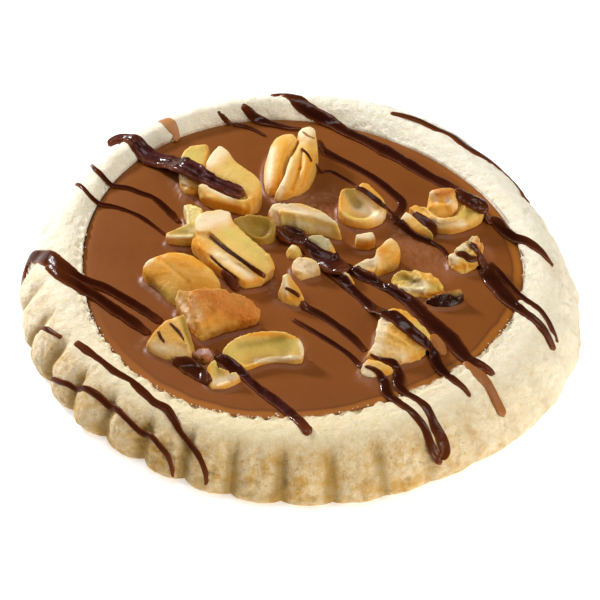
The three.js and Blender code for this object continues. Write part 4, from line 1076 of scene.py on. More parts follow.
def crust_finish(sizes):
    """Dry shortcrust: nearly white to cream, with mottled baked patches, brown pits, sandy grain and
    painted shade in its grooves.
    """
    finish = Finish(
        "shortcrust", Specular_IOR_Level=0.2, Subsurface_Weight=0.2, Subsurface_Scale=0.0008,
        Subsurface_Radius=(1, 0.7, 0.45),
    )
    baked, shaded, stained, creamy = finish.masks("crust")
    patches = finish.between(finish.specks(3.4, 4, 0.62), 0.38, 0.66)
    mottle = finish.between(finish.specks(1.1, 3, 0.6, seed=2), 0.4, 0.66)
    flecks = finish.between(finish.specks(0.7, 2, seed=3), 0.6, 0.72)
    grain = finish.specks(0.35, 3, 0.6, seed=7)
    finish.colour(finish.layers(
        sizes.cream,
        (creamy * 0.8 + mottle * 0.25, sizes.dough),
        (baked * (0.25 + patches * 0.5 + mottle * 0.25), sizes.baked),
        # painted shade: darker in the grooves and low on the wall
        (shaded * 0.75, sizes.groove),
        (flecks * (0.05 + baked * 0.45), sizes.fleck),
        (stained, sizes.stain),
    ))
    finish.roughness(0.78 + grain * 0.16)
    finish.bump(grain * 0.9 + finish.specks(1.5, 3, seed=5) * 1.4, 0.26)
    return finish.material


def filling_finish(sizes):
    """Set milk chocolate: satin brown, caramel at its thin edge, bloom and painted pinkish sheen where
    wrinkled.
    """
    finish = Finish("milk_chocolate", Specular_IOR_Level=0.25)
    thin, wrinkled, gap, _ = finish.masks("filling")
    finish.colour(finish.layers(
        sizes.milk,
        (finish.specks(9, 2, 0.4), sizes.milk_deep),
        # bloom with a painted pinkish sheen where the filling is wrinkled
        (wrinkled * 0.5, sizes.bloom_and_sheen),
        (thin, sizes.caramel),
        # painted shade in the gap at the edge, and darker lines along the thin edge
        (gap, sizes.gap_shade_and_line),
    ))
    finish.roughness(0.36 + 0.12 * finish.specks(3, 3, seed=4))
    finish.bump(finish.specks(2.4, 2, seed=2) * 0.6 + finish.specks(0.5, 2, seed=6) * 0.2, 0.1)
    return finish.material


def dark_finish(sizes, name, gloss):
    """Set dark chocolate: nearly black brown with a wet shine and blotches of painted pinkish sheen,
    redder where it thins at an edge and where light comes through it from the crust."""
    finish = Finish(name, Specular_IOR_Level=gloss)
    edge, sheen, on_crust, _ = finish.masks("edge")
    finish.colour(finish.layers(
        sizes.dark,
        (finish.specks(3, 2), sizes.dark_warm),
        # blotches of painted pinkish sheen
        (sheen * finish.between(finish.specks(1.6, 3, seed=4), 0.4, 0.62), sizes.dark_sheen),
        (edge * 0.6 + on_crust * 0.16, sizes.dark_thin),
    ))
    finish.roughness(0.08 + 0.22 * finish.specks(1.2, 2, seed=3))
    finish.bump(finish.specks(1.1, 2, seed=9), 0.09)
    return finish.material


def smear_finish(sizes):
    """Milk chocolate in a thin stroke, a little lighter and redder than the filling."""
    finish = Finish("milk_smear", Specular_IOR_Level=0.3)
    edge, pinkish, _, _ = finish.masks("edge")
    finish.colour(finish.layers(sizes.milk, (pinkish, sizes.smear), (edge * 0.7, sizes.caramel)))
    finish.roughness(0.3 + 0.15 * finish.specks(1, 2, seed=3))
    finish.bump(finish.specks(0.9, 2, seed=9), 0.08)
    return finish.material


def cashew_finish(sizes):
    """Roasted cashew: waxy cream, with golden, toasted, green and coated places, painted shade and
    highlights by its masks.
    """
    finish = Finish(
        "cashew", Specular_IOR_Level=0.28, Subsurface_Weight=0.32, Subsurface_Scale=0.0014,
        Subsurface_Radius=(1, 0.7, 0.3),
    )
    golden, toasted, green, pale = finish.masks("tones")
    olive_shade, grey, milk, chocolate = finish.masks("shades_and_coats")
    blotch = finish.between(finish.specks(2.6, 3), 0.35, 0.7)
    flecks = finish.between(finish.specks(0.5, 2, seed=8), 0.66, 0.78)
    finish.colour(finish.layers(
        sizes.nut,
        (blotch, sizes.nut_warm),
        (green * 0.85, sizes.green),
        (golden * 0.9, sizes.golden),
        (toasted * (0.75 + blotch * 0.25), sizes.toasted),
        # pale is white breaks and painted highlights
        (pale * 0.75, sizes.pale),
        # painted shade in hollows and on shaded faces
        (olive_shade * 0.9, sizes.olive_shade),
        (grey * 0.8, sizes.grey),
        (flecks * 0.25, sizes.toasted),
        # milk coat, pinkish with painted sheen
        (milk, sizes.bloom_and_sheen),
        (chocolate, sizes.dark),
    ))
    finish.roughness(0.42 + 0.15 * blotch - 0.3 * milk - 0.25 * chocolate)
    grain = finish.specks(0.8, 3, seed=5) + finish.specks(0.25, 2, seed=6) * 0.4
    finish.bump(grain * (toasted * 1.4 + 1), 0.13)
    return finish.material


def floor_finish(sizes):
    """A plain pale table top with the faintest mottling."""
    white = (1, 1, 1, 1)
    finish = Finish("pale_floor", Specular_IOR_Level=0.2, Emission_Strength=0.5, Emission_Color=white)
    finish.colour(finish.mix(finish.specks(90, 2), sizes.floor, FLOOR_DIM))
    finish.roughness(0.8)
    return finish.material


# ---- Settings that a user may change ----


def colour_setting(name, description, code):
    """A colour property whose default is a colour code."""
    return bpy.props.FloatVectorProperty(
        name=name, description=description, subtype="COLOR", size=3, min=0, max=1, default=linear(code)
    )


def length_setting(name, description, size):
    """A length in millimetres, whose default is its size."""
    return bpy.props.FloatProperty(name=name, description=description + " in mm", default=size)


def power_setting(name, description, watts):
    """The power of a lamp."""
    return bpy.props.FloatProperty(name=name, description=description + " in watts", default=watts, min=0)


def count_setting(name, description, count, least):
    """A whole number that is never below its least."""
    return bpy.props.IntProperty(name=name, description=description, default=count, min=least)


class TartletCrustSettings(bpy.types.PropertyGroup):
    """Relief and colours of the shortcrust."""

    columns: count_setting("Columns", "Corners round one flute", 28, 8)
    lumps: length_setting("Lumps", "Height of the broad lumps", 0.34)
    grain: length_setting("Grain", "Height of the coarse grain", 0.15)
    pits: length_setting("Pits", "Depth of the small holes", 0.25)
    crumble: length_setting("Crumble", "Raggedness of the inner edge", 0.4)
    cream: colour_setting("Cream", "Palest crust", "#fdf5e1")
    dough: colour_setting("Dough", "Common crust", "#f0dcb0")
    baked: colour_setting("Baked", "Baked patches", "#cd9a40")
    # colour of the painted shade in the grooves and low on the wall
    groove: colour_setting("Groove", "Grooves between flutes", "#9c7628")
    fleck: colour_setting("Fleck", "Small brown flecks", "#a87a38")
    stain: colour_setting("Stain", "Chocolate on the inner edge", "#8a5526")


class TartletFillingSettings(bpy.types.PropertyGroup):
    """Fineness and colours of the milk chocolate."""

    rings: count_setting("Rings", "Rings of corners on the top", 170, 20)
    columns: count_setting("Columns", "Corners in one ring", 480, 60)
    climb: length_setting("Climb", "Height drawn up beside a nut", 0.35)
    milk: colour_setting("Milk chocolate", "Common filling", "#884c1a")
    milk_deep: colour_setting("Deep milk chocolate", "Darker clouds", "#7d4416")
    # bloom and painted pinkish sheen on the wrinkled places
    bloom_and_sheen: colour_setting("Bloom", "Wrinkled places", "#9c6746")
    caramel: colour_setting("Caramel", "Thin edge", "#a4621f")
    # painted shade in the gap at the left edge, also the darker lines along the thin edge
    gap_shade_and_line: colour_setting("Crack", "Gap at the left edge", "#3a2212")
    smear: colour_setting("Smear", "Thin strokes of milk chocolate", "#c48a58")


class TartletNutSettings(bpy.types.PropertyGroup):
    """Skin and tones of the cashews."""

    nut: colour_setting("Nut", "Common nut", "#edc06a")
    nut_warm: colour_setting("Warm nut", "Warmer blotches", "#e7b355")
    golden: colour_setting("Golden", "Golden edges", "#e8a02c")
    toasted: colour_setting("Toasted", "Toasted faces", "#d07c2a")
    green: colour_setting("Green", "Greenish faces", "#dcc566")
    # painted highlights as well as white breaks
    pale: colour_setting("Pale", "White breaks", "#fbe9c8")
    olive_shade: colour_setting("Olive", "Dark hollows", "#9c7c28")
    # painted shade in the nuts' hollows
    grey: colour_setting("Grey", "Shaded green", "#a8a684")
    # coat of milk chocolate, pinkish with painted sheen
    bloom_and_sheen: colour_setting("Bloom", "Coat of milk chocolate", "#bb948a")
    dark: colour_setting("Dark", "Coat of dark chocolate", "#34140a")


class TartletDrizzleSettings(bpy.types.PropertyGroup):
    """Fullness and colours of the dark drizzle."""

    fullness: bpy.props.FloatProperty(name="Fullness", description="Share of the rise", default=0.75)
    dark: colour_setting("Dark", "Common dark chocolate", "#270b04")
    dark_warm: colour_setting("Warm dark", "Warmer clouds", "#381206")
    # colour of the painted pinkish sheen
    dark_sheen: colour_setting("Sheen", "Pinkish folds", "#5a2e30")
    dark_thin: colour_setting("Thin dark", "Thin edges", "#84421c")


class TartletStageSettings(bpy.types.PropertyGroup):
    """Light and floor."""

    key: power_setting("Key", "Key light", 3.8)
    fill: power_setting("Fill", "Low fill light", 1.9)
    top: power_setting("Top", "Top light", 0.92)
    sky: bpy.props.FloatProperty(name="Sky", description="Brightness of the surroundings", default=0.04)
    floor: colour_setting("Floor", "Table top", "#fbfbfb")


# ---- Pieces ----


def closed_ring(points, count):
    """Evenly spaced points along a closed outline, with its corners a little rounded."""
    ring = np.vstack([points, points[:1]])
    gone = np.concatenate([[0], np.cumsum(np.linalg.norm(np.diff(ring, axis=0), axis=1))])
    spots = np.linspace(0, gone[-1], count, endpoint=False)
    even = np.stack([np.interp(spots, gone, ring[:, axis]) for axis in range(ring.shape[1])], -1)
    for _ in range(OUTLINE_ROUNDING):
        even = (np.roll(even, 1, axis=0) + 2 * even + np.roll(even, -1, axis=0)) / 4
    return even


def nut_shell(face, dish, base, flare):
    """A loft: rings run from a foot outline up a swelling wall to the face's outline, then
    shrink across the face to its middle, which is dished or domed as a share of the way in."""
    face = np.array(face, float)
    ring = closed_ring(at_height(face[:, :2], FILLING_LEVEL + face[:, 2]), NUT_COLUMNS)
    middle = ring.mean(0)
    outward_way = unit(ring[:, :2] - middle[:2])
    flat = np.c_[ring[:, :2], np.ones(NUT_COLUMNS)]
    sheet = np.linalg.lstsq(flat, ring[:, 2], rcond=None)[0]
    bottom = FILLING_LEVEL + GAP + base - NUT_SUNK
    rise = ring[:, 2] - bottom
    foot = flare * smooth_step(rise, 1, 4)
    rows = []
    for share in (0, 0.5, 0.9):
        plan = lerp(middle[:2], ring[:, :2] + foot[:, None] * outward_way, share)
        rows.append(np.c_[plan, np.full(NUT_COLUMNS, bottom)])
    for share in np.linspace(0, 1, NUT_WALL_ROWS):
        spread = foot * (1 - share) + NUT_BULGE * math.sin(math.pi * share)
        plan = ring[:, :2] + spread[:, None] * outward_way
        rows.append(np.c_[plan, lerp(bottom, ring[:, 2], share)])
    uneven = ring[:, 2] - flat @ sheet
    for share in np.linspace(1, 0, NUT_FACE_ROWS)[1:]:
        plan = lerp(middle[:2], ring[:, :2], share)
        level = np.c_[plan, np.ones(NUT_COLUMNS)] @ sheet
        if dish > 0:
            sag = -dish * smooth_step(1 - share, 0.08, 0.62)
        else:
            sag = -dish * math.sqrt(1 - share**2)
        rows.append(np.c_[plan, level + uneven * share**2 + sag])
    return np.array(rows)


def skin_over(name, shells):
    """A mesh that is one even skin of small squares over several closed shells."""
    rough_mesh = write_mesh(name, *joined(shells))
    blank = bpy.data.objects.new(name, rough_mesh)
    bpy.context.scene.collection.objects.link(blank)
    modifier = blank.modifiers.new("skin", "REMESH")
    modifier.mode = "VOXEL"
    modifier.voxel_size = NUT_SKIN * MM
    skin = bpy.data.meshes.new_from_object(blank.evaluated_get(bpy.context.evaluated_depsgraph_get()))
    bpy.data.objects.remove(blank)
    bpy.data.meshes.remove(rough_mesh)
    return skin


def soften(mesh, corners, passes):
    """Moves every corner towards the mean of its neighbours, a few times."""
    edges = np.empty(len(mesh.edges) * 2, np.int32)
    mesh.edges.foreach_get("vertices", edges)
    first, second = edges.reshape(-1, 2).T
    count = np.bincount(edges, minlength=len(corners))[:, None]
    for _ in range(passes):
        total = np.zeros_like(corners)
        np.add.at(total, first, corners[second])
        np.add.at(total, second, corners[first])
        corners = lerp(corners, total / count, SOFTENING_SHARE)
    return corners


def nut_mesh(piece, seed):
    """A nut's skin with its breaks, lumps, grooves and tones."""
    base = piece.get("base", 0)
    faces = zip(piece["faces"], piece["dish"])
    mesh = skin_over(piece["node"], [nut_shell(face, dish, base, piece["flare"]) for face, dish in faces])
    corners = soften(mesh, corners_of(mesh), NUT_SOFTENING)
    put_corners(mesh, corners)
    mesh.update()
    normals = read_rows(mesh.vertex_normals, "vector")
    coarse = piece.get("coarse", NUT_COARSE)
    lift = coarse * rough(corners, NUT_LUMP_SIZE, 3, seed)
    lift = lift + NUT_SWELL_RISE * noise(corners, NUT_SWELL_SIZE, seed + 5)
    lift = lift - 0.5 * coarse * smooth_step(noise(corners, NUT_CHIP_SIZE, seed + 9), 0.3, 0.6)
    crags = 1 - np.abs(noise(corners, NUT_CRAG_SIZE, seed + 12))
    crags = crags - 0.6 * np.abs(noise(corners, NUT_FINE_CRAG_SIZE, seed + 13))
    lift = lift + piece.get("flaky", 0) * (crags - 0.5)
    pixels = pixels_of(corners)
    in_sight = smooth_step(-(normals @ SIGHT), -0.05, 0.35)
    for *line, depth in piece.get("carve", ()):
        lift = lift + depth * in_sight * near_line(pixels, line)
    corners = corners + normals * lift[:, None]
    put_corners(mesh, corners)
    mesh.update()
    tones = np.zeros((len(TONES), len(corners)))
    mottled = 0.75 + 0.35 * noise(corners, 1.6, seed + 3)
    for tone, *line, strength in piece.get("paint", ()):
        spot = strength * in_sight * near_line(pixels, line) * 1.6 * mottled
        tones[TONES[tone]] = np.maximum(tones[TONES[tone]], np.clip(spot, 0, 1))
    low = smooth_step(corners[:, 2], FILLING_LEVEL + GOLDEN_TOP, FILLING_LEVEL + GOLDEN_FULL)
    tones[0] = np.maximum(tones[0], 0.45 * low * (0.6 + 0.4 * noise(corners, 3, seed)))
    add_mask(mesh, "tones", tones[:4])
    add_mask(mesh, "shades_and_coats", tones[4:])
    mesh.shade_smooth()
    return mesh


class TARTLET_OT_cashews(bpy.types.Operator):
    """Make every broken cashew with its own breaks, grooves and tones"""

    bl_idname = "tartlet.cashews"
    bl_label = "Cashews"

    def execute(self, context):
        finish = cashew_finish(context.scene.tartlet_nuts)
        for seed, piece in enumerate(CASHEWS + SCRAPS):
            mesh = nut_mesh(piece, 20 * seed)
            replaced = (piece["node"],) if piece in CASHEWS else ()
            place_piece(piece["node"] + "_dressed", mesh, finish, replaced)
        return {"FINISHED"}


def nutty_terrain(pieces, reach):
    """The terrain with some nuts on it, blurred over so many cells each way."""
    terrain = Terrain()
    for piece in pieces:
        terrain.raise_to(corners_of(bpy.data.objects[piece["node"] + "_dressed"].data))
    terrain.field = blur(terrain.field, reach)
    return terrain


def crust_grid(columns):
    """Rings from the middle of the base round the wall, over the rim and down to the floor.
    Returns the grid, how far down the wall and how far in across the rim each ring lies, and
    the angle of each column."""
    angle = np.linspace(0, 2 * math.pi, columns, endpoint=False) + FLUTE_TURN
    rings = []
    downs = []
    ins = []

    def ring(radius, height, down, inward):
        rings.append(around(angle, radius, height))
        downs.append(down)
        ins.append(inward)

    foot = widest_radius(angle) - FOOT_INSET - groove_depth(angle, 1)
    for share in (0, 0.5, 0.9, 0.97, 1):
        ring(foot * share, 0, 1, -1)
    for turn in np.linspace(0, math.pi / 2, FOOT_RINGS)[1:-1]:
        ring(foot + FOOT_INSET * math.sin(turn), WIDEST_HEIGHT * (1 - math.cos(turn)), 1, 0)
    for down in np.linspace(1, 0, WALL_RINGS):
        ring(*wall(angle, down), down, 0)
    for share in np.linspace(1, 0, RIM_RINGS)[1:]:
        radius = lerp(filling_radius(angle), crest_radius(angle), share)
        ring(radius, rim_height(angle, share), 0, 1 - share)
    for height in (FILLING_LEVEL - 0.4, FILLING_LEVEL - 1.5, FLOOR_THICKNESS):
        ring(filling_radius(angle), height, 0, 2)
    ring(0, FLOOR_THICKNESS, 0, 2)
    return np.array(rings), np.array(downs)[:, None], np.array(ins)[:, None], angle


class TARTLET_OT_crust(bpy.types.Operator):
    """Make the fluted shortcrust with its lumps, grain, pits and baked patches"""

    bl_idname = "tartlet.crust"
    bl_label = "Crust"

    def execute(self, context):
        sizes = context.scene.tartlet_crust
        grid, down, inward, angle = crust_grid(sizes.columns * FLUTES)
        normals = grid_normals(grid)
        open_air = (inward >= 0) * (inward < 1.5)
        lower = smooth_step(down, 0.1, 0.7)
        edge = smooth_step(inward, 0.45, 1.0)
        stronger = lerp(0.7, 1.3, lower)
        lift = sizes.lumps * rough(grid, LUMP_SIZE, 3) * stronger
        lift = lift + sizes.grain * rough(grid, GRAIN_SIZE, 2, 4) * stronger
        pitted = smooth_step(noise(grid, PIT_SIZE, 8), 0.38, 0.75)
        lift = lift - sizes.pits * pitted * lerp(0.5, 1, lower)
        behind = smooth_step(grid[..., 1], 0, 15)
        lift = lift + sizes.crumble * rough(grid, CRUMBLE_SIZE, 2, 12) * edge * lerp(1, 0.25, behind)
        firm = smooth_step(grid[..., 2], 0, 1.2)
        grid = grid + normals * (lift * open_air * firm)[..., None]
        grid[..., 2] = np.maximum(grid[..., 2], 0)
        corners, *faces = joined([grid])
        mesh = write_mesh("crust_dressed", corners, *faces)
        angles, _ = polar(corners)
        downs, ins, grooves = (
            closed_values(whole)
            for whole in (down + 0 * angle, inward + 0 * angle, groove(angle) + 0 * down)
        )
        fluted = facing(angles, GROOVE_SHADE_SIDE, 0.3, 0.9)
        baked = 0.86 * smooth_step(downs, 0.1, 0.5) * facing(angles, BAKED_SIDE, 0.1, 0.9)
        baked = np.maximum(baked, (0.22 + 0.4 * noise(corners, 8, 31)) * smooth_step(downs, 0.6, 1.0))
        baked = baked + 0.25 * smooth_step(noise(corners, 6, 30), 0.1, 0.6) * smooth_step(downs, 0, 0.3)
        # shaded is painted shade: darker in the grooves, most towards one side, and low on the wall
        shaded = smooth_step(grooves, 0.15, 0.8) * smooth_step(downs, 0.2, 0.5) * (0.15 + 0.85 * fluted)
        shaded = shaded + 0.3 * smooth_step(downs, 0.5, 1.0) * facing(angles, FLUTE_DEEPEST, 0.3, 1)
        creamy = (0.5 + 0.5 * np.cos(angles - CREAMY_SIDE)) ** 2
        ragged = 0.08 * rough(corners, 1.5, 2, 16)
        stained = smooth_step(ins + ragged, 0.9, 0.99) * (ins < 1.5) * facing(angles, STAINED_SIDE, 0, 0.8)
        add_mask(mesh, "crust", (baked, shaded, stained, creamy))
        place_piece("crust_dressed", mesh, crust_finish(sizes), ("crust",))
        return {"FINISHED"}


class TARTLET_OT_filling(bpy.types.Operator):
    """Make the poured milk chocolate, drawn up round the nuts and thin at its edge"""

    bl_idname = "tartlet.filling"
    bl_label = "Filling"

    def wrinkled_at(self, points):
        """How wrinkled the filling is at some points, from 0 to 1."""
        pixels = pixels_of(points)
        return np.clip(sum(near_line(pixels, line) for line in WRINKLES), 0, 1)

    def execute(self, context):
        sizes = context.scene.tartlet_filling
        angle = np.linspace(0, 2 * math.pi, sizes.columns, endpoint=False)
        edge = filling_radius(angle) - 0.05
        share = np.linspace(1, 0, sizes.rings)[:, None] ** 0.9
        ring_angle = angle + 0 * share
        uneven = FILLING_UNEVEN * np.cos(3 * ring_angle + 5 * share) * 4 * share * (1 - share)
        top = FILLING_LEVEL + uneven - FILLING_EDGE_DROP * share**12
        grid = around(angle, share * edge, top)
        terrain = nutty_terrain(CASHEWS, 0)
        covered = (terrain.field > Terrain().field + COVERED_RISE).astype(float)
        beside = terrain.read(blur(covered, CLIMB_CELLS), grid[..., 0], grid[..., 1])
        wrinkled = self.wrinkled_at(grid)
        ripple = wrinkled * np.abs(rough(grid, RIPPLE_SIZE, 3, 5))
        rippled = WRINKLE_RISE * ripple * smooth_step(share, 1, 0.97)
        grid[..., 2] += sizes.climb * smooth_step(beside, 0.02, 0.6) + rippled
        grid[..., 2] += SWELL_RISE * noise(grid, SWELL_SIZE, 2)
        low = [around(angle, edge * share, FLOOR_THICKNESS + GAP) for share in (0, 0.5, 1)]
        grid = np.concatenate([low, grid])
        corners, *faces = joined([grid])
        mesh = write_mesh("filling_dressed", corners, *faces)
        angles, radius = polar(corners)
        out = radius / filling_radius(angles)
        thinned = facing(angles, THIN_SIDE, -0.3, 0.6)
        ragged = 0.006 * rough(corners, 3, 2, 9)
        thin = smooth_step(out + ragged, 0.95, 0.972) * lerp(0.15, 1, thinned)
        # painted shade in the gap on the parted side, and darker lines along the borders of the thin edge
        line = np.exp(-(((out + ragged - 0.951) / 0.004) ** 2)) + smooth_step(out, 0.986, 0.992)
        parted = smooth_step(out, 0.988, 0.995) * facing(angles, PARTED_SIDE, 0.75, 0.95)
        gap = np.maximum(parted, 0.4 * line * thinned)
        wrinkled = self.wrinkled_at(corners) * (0.7 + 0.5 * rough(corners, 1.4, 2, 5))
        add_mask(mesh, "filling", (thin, wrinkled, gap))
        place_piece("filling_dressed", mesh, filling_finish(sizes), ("filling",))
        return {"FINISHED"}


def moving_mean(values, reach):
    """The mean of each value and of reach values on either side of it."""
    window = np.ones(2 * reach + 1) / (2 * reach + 1)
    return np.convolve(np.pad(values, reach, mode="edge"), window, mode="valid")


def bridged(heights, reach):
    """A line of heights that spans its dips: its moving mean, again and again, where it is higher."""
    spans = heights
    for _ in range(4):
        spans = np.maximum(moving_mean(spans, reach), heights - BRIDGE_SINK)
    return moving_mean(spans, 2)


def stroke_grid(stroke, terrain, crisp, seed, fullness):
    """A rounded strand along a path: a full upper arch, with folds, over a shallow underside.
    Both ends close in a half circle, and every point is set off the ground along its normal.
    Returns the grid and, for each of its points, how near the strand's edge it lies."""
    if "bridge" in stroke:
        pixels = curve_at(stroke["line"], np.linspace(0, 1, BRIDGE_SPOTS))
        found = seen_at(pixels, crisp)
        far = np.linalg.norm(found[0] - found[-1])
        reach = max(1, round(stroke["bridge"] / far * BRIDGE_SPOTS))
        found = at_height(pixels, bridged(found[:, 2], reach))
        fine = np.stack([moving_mean(found[:, axis], 1) for axis in range(3)], -1)
    else:
        fine = curve_at(seen_at(stroke["line"], terrain), np.linspace(0, 1, LINE_SPOTS))
    gone = np.concatenate([[0], np.cumsum(np.linalg.norm(np.diff(fine[:, :2], axis=0), axis=1))])
    length = gone[-1]
    steps = max(10, int(length / STROKE_STEP))
    share = np.linspace(0, 1, steps)
    if steps < SHORT_STEPS:
        share = 0.5 - 0.5 * np.cos(math.pi * share)
    middle = np.stack([np.interp(share * length, gone, fine[:, axis]) for axis in range(3)], -1)
    held = middle[:, 2:]
    middle = middle[:, :2]
    way = unit(np.gradient(middle, axis=0))
    right = np.stack([way[:, 1], -way[:, 0]], -1)
    width = along(stroke["widths"], share)
    spot = np.concatenate([middle, np.zeros((steps, 1))], 1)
    width = width * (1 + 0.1 * noise(spot, 2.2, seed) + 0.07 * noise(spot, 0.9, seed + 2))
    one_side = terrain.height(*(middle + SLOPE_REACH * right).T)
    other_side = terrain.height(*(middle - SLOPE_REACH * right).T)
    slope = np.minimum(np.abs(one_side - other_side) / (2 * SLOPE_REACH), SLOPE_LIMIT)
    slope = moving_mean(slope, 2)
    if "bridge" not in stroke:
        width = width / np.sqrt(1 + slope**2)
    from_end = np.minimum(share, 1 - share) * length
    close = np.sqrt(np.clip(1 - (1 - np.clip(from_end / (width / 2), 0, 1)) ** 2, 0, 1))
    turn = np.linspace(0, 2 * math.pi, STROKE_SIDES, endpoint=False)
    side = np.cos(turn)
    up = np.sin(turn)
    uneven = 1 + 0.12 * noise(spot, 1.7, seed + 4)
    rise = stroke["rise"] * fullness * lerp(STROKE_END, 1, close) * uneven * close
    arch = np.abs(up) ** STROKE_ARCH
    if "folds" in stroke:
        ridges = np.abs(np.sin(stroke["folds"] * math.pi / 2 * (side + 1)))
        arch = arch * (1 - FOLD_DEPTH * (1 - ridges) ** 2)
    lift = np.where(up > 0, arch * rise[:, None], up * STROKE_DEPTH * close[:, None])
    plan = middle[:, None] + right[:, None] * (side * (width * close)[:, None] / 2)[..., None]
    ground = terrain.height(plan[..., 0], plan[..., 1])
    normals = terrain.normals(plan[..., 0], plan[..., 1])
    if "bridge" in stroke:
        ground = np.clip(ground, held - BRIDGE_SINK, held + BRIDGE_RIDE)
        normals = unit(0.3 * normals + np.array([0, 0, 0.7]))
    edge = np.maximum(np.abs(side) ** 4 + 0 * lift, 0.9 * np.exp(-from_end / STROKE_FADE)[:, None])
    return np.concatenate([plan, ground[..., None]], -1) + normals * lift[..., None], edge


def strokes_mesh(name, strokes, terrain, crisp, seed, fullness):
    """All strokes of one chocolate as one mesh, with masks for edges, sheen and crust below."""
    grids = []
    edges = []
    sheens = []
    for number, stroke in enumerate(strokes):
        grid, edge = stroke_grid(stroke, terrain, crisp, seed + number, fullness)
        grids.append(grid)
        edges.append(closed_values(edge))
        sheens.append(np.full(len(edges[-1]), stroke.get("sheen", 0)))
    corners, *faces = joined(grids)
    mesh = write_mesh(name, corners, *faces)
    angles, radius = polar(corners)
    on_crust = smooth_step(radius - filling_radius(angles), 0, 3)
    add_mask(mesh, "edge", (np.concatenate(edges), np.concatenate(sheens), on_crust))
    return mesh


class TARTLET_OT_drizzle(bpy.types.Operator):
    """Lay the strokes of dark and milk chocolate over crust, filling and nuts"""

    bl_idname = "tartlet.drizzle"
    bl_label = "Drizzle"

    def execute(self, context):
        sizes = context.scene.tartlet_drizzle
        terrain = nutty_terrain(CASHEWS + SCRAPS, SOFT_CELLS)
        crisp = nutty_terrain(CASHEWS + SCRAPS, 0)
        for name, satin, gloss in (("dark_drizzle", False, 0.22), ("dark_drizzle_satin", True, 0.06)):
            strokes = [stroke for stroke in DARK_STROKES if stroke.get("satin", False) == satin]
            dark = strokes_mesh(name, strokes, terrain, crisp, 100, sizes.fullness)
            place_piece(name, dark, dark_finish(sizes, name, gloss))
        milk = strokes_mesh("milk_smears", MILK_STROKES, terrain, crisp, 200, sizes.fullness)
        place_piece("milk_smears", milk, smear_finish(context.scene.tartlet_filling))
        return {"FINISHED"}


class TARTLET_OT_crumbs(bpy.types.Operator):
    """Scatter small crumbs, each an uneven icosahedron, along the inner edge of the crust"""

    bl_idname = "tartlet.crumbs"
    bl_label = "Crumbs"

    def execute(self, context):
        terrain = nutty_terrain(CASHEWS + SCRAPS, 1)
        draw = np.random.default_rng(CRUMB_SEED)
        golden = (1 + math.sqrt(5)) / 2
        base = np.array([(0, a, b * golden) for a in (-1, 1) for b in (-1, 1)])
        base = np.vstack([np.roll(base, turn, axis=1) for turn in range(3)]) / math.hypot(1, golden)
        near = np.linalg.norm(base[:, None] - base, axis=-1) < 1.2
        faces = [
            (a, b, c)
            for a in range(12)
            for b in range(a + 1, 12)
            for c in range(b + 1, 12)
            if near[a, b] and near[b, c] and near[a, c]
        ]
        faces = [face if np.linalg.det(base[list(face)]) > 0 else face[::-1] for face in faces]
        angles = np.concatenate([np.radians(draw.uniform(low, high, count)) for low, high, count in CRUMBS])
        radii = filling_radius(angles) + draw.normal(CRUMB_PLACE, CRUMB_SPREAD / 2, len(angles))
        size = draw.uniform(*CRUMB_SIZES, len(angles))
        middles = around(angles, radii, 0)
        middles[:, 2] = terrain.height(middles[:, 0], middles[:, 1]) + 0.25 * size
        uneven = draw.uniform(*CRUMB_UNEVEN, (len(angles), 12, 3))
        corners = (middles[:, None] + base * uneven * size[:, None, None]).reshape(-1, 3)
        triangles = (np.array(faces) + 12 * np.arange(len(angles))[:, None, None]).reshape(-1, 3)
        mesh = write_mesh("crumbs", corners, np.zeros((0, 4), np.int64), triangles)
        tan = np.repeat(draw.uniform(0, 0.9, len(angles)) ** 2, 12)
        add_mask(mesh, "crust", (tan,))
        place_piece("crumbs", mesh, bpy.data.materials["shortcrust"])
        return {"FINISHED"}


# ---- Stage ----


def add_light(name, place, size, watts, colour):
    """A square soft light that faces the tartlet."""
    light = bpy.data.lights.new(name, "AREA")
    light.size = size
    light.energy = watts
    light.color = colour
    lamp = bpy.data.objects.new(name, light)
    lamp.location = place
    lamp.rotation_euler = Vector(place).to_track_quat("Z", "Y").to_euler()
    bpy.context.scene.collection.objects.link(lamp)


def add_camera():
    """The photograph's camera: its height angle, distance, slight roll and framing."""
    camera = bpy.data.cameras.new("camera")
    camera.sensor_width = SENSOR
    camera.lens = FOCAL_PIXELS / PICTURE * SENSOR
    camera.shift_x = (PICTURE / 2 - MIDDLE_PIXEL[0]) / PICTURE
    camera.shift_y = (MIDDLE_PIXEL[1] - PICTURE / 2) / PICTURE
    camera.clip_start = CAMERA_NEAR
    holder = bpy.data.objects.new("camera", camera)
    tilt = Matrix.Rotation(math.pi / 2 - CAMERA_HEIGHT_ANGLE, 4, "X")
    place = Vector((-SIGHT * CAMERA_DISTANCE - OUTLINE_MIDDLE) * MM)
    holder.matrix_world = Matrix.Translation(place) @ tilt @ Matrix.Rotation(CAMERA_ROLL, 4, "Z")
    bpy.context.scene.collection.objects.link(holder)
    bpy.context.scene.camera = holder


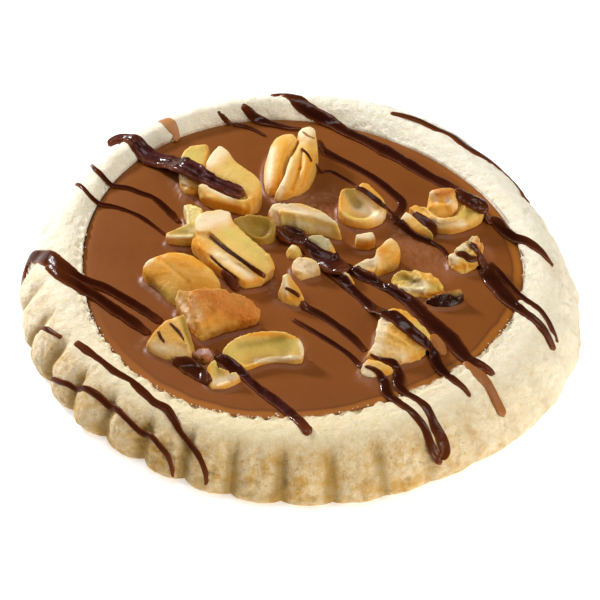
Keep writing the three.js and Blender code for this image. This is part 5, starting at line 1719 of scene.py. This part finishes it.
class TARTLET_OT_stage(bpy.types.Operator):
    """Set up the pale floor, the soft lights and the camera"""

    bl_idname = "tartlet.stage"
    bl_label = "Stage"

    def execute(self, context):
        sizes = context.scene.tartlet_stage
        mesh = bpy.data.meshes.new("floor")
        corners = [(x * FLOOR_HALF, y * FLOOR_HALF, 0) for x, y in ((-1, -1), (1, -1), (1, 1), (-1, 1))]
        mesh.from_pydata(corners, [], [(0, 1, 2, 3)])
        mesh.materials.append(floor_finish(sizes))
        floor = bpy.data.objects.new("floor", mesh)
        context.scene.collection.objects.link(floor)
        for name, place, size, setting, share, colour in LIGHTS:
            add_light(name, place, size, share * getattr(sizes, setting), colour)
        world = bpy.data.worlds.new("surroundings")
        world.use_nodes = True
        background = world.node_tree.nodes["Background"]
        background.inputs["Color"].default_value = (1, 1, 1, 1)
        background.inputs["Strength"].default_value = sizes.sky
        context.scene.world = world
        context.scene.view_settings.view_transform = "Standard"
        add_camera()
        return {"FINISHED"}


class TARTLET_PT_panel(bpy.types.Panel):
    """Buttons that make the tartlet's pieces"""

    bl_label = "Tartlet"
    bl_idname = "TARTLET_PT_panel"
    bl_space_type = "VIEW_3D"
    bl_region_type = "UI"
    bl_category = "Tartlet"

    def draw(self, context):
        for group in SETTINGS:
            box = self.layout.box()
            settings = getattr(context.scene, group)
            for name in settings.__annotations__:
                box.prop(settings, name)
        for operator in OPERATORS:
            self.layout.operator(operator.bl_idname)


SETTINGS = {
    "tartlet_crust": TartletCrustSettings,
    "tartlet_filling": TartletFillingSettings,
    "tartlet_nuts": TartletNutSettings,
    "tartlet_drizzle": TartletDrizzleSettings,
    "tartlet_stage": TartletStageSettings,
}
OPERATORS = (
    TARTLET_OT_stage,
    TARTLET_OT_cashews,
    TARTLET_OT_crust,
    TARTLET_OT_filling,
    TARTLET_OT_drizzle,
    TARTLET_OT_crumbs,
)


def register():
    """Registers every class and hangs the settings on the scene."""
    for one in (*SETTINGS.values(), *OPERATORS, TARTLET_PT_panel):
        bpy.utils.register_class(one)
    for name, group in SETTINGS.items():
        setattr(bpy.types.Scene, name, bpy.props.PointerProperty(type=group))


def unregister():
    """Takes the settings and the classes away again."""
    for name in SETTINGS:
        delattr(bpy.types.Scene, name)
    for one in (TARTLET_PT_panel, *reversed(OPERATORS), *reversed(SETTINGS.values())):
        bpy.utils.unregister_class(one)


def main():
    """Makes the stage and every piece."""
    register()
    bpy.ops.tartlet.stage()
    bpy.ops.tartlet.cashews()
    bpy.ops.tartlet.crust()
    bpy.ops.tartlet.filling()
    bpy.ops.tartlet.drizzle()
    bpy.ops.tartlet.crumbs()


if __name__ == "__main__":
    main()
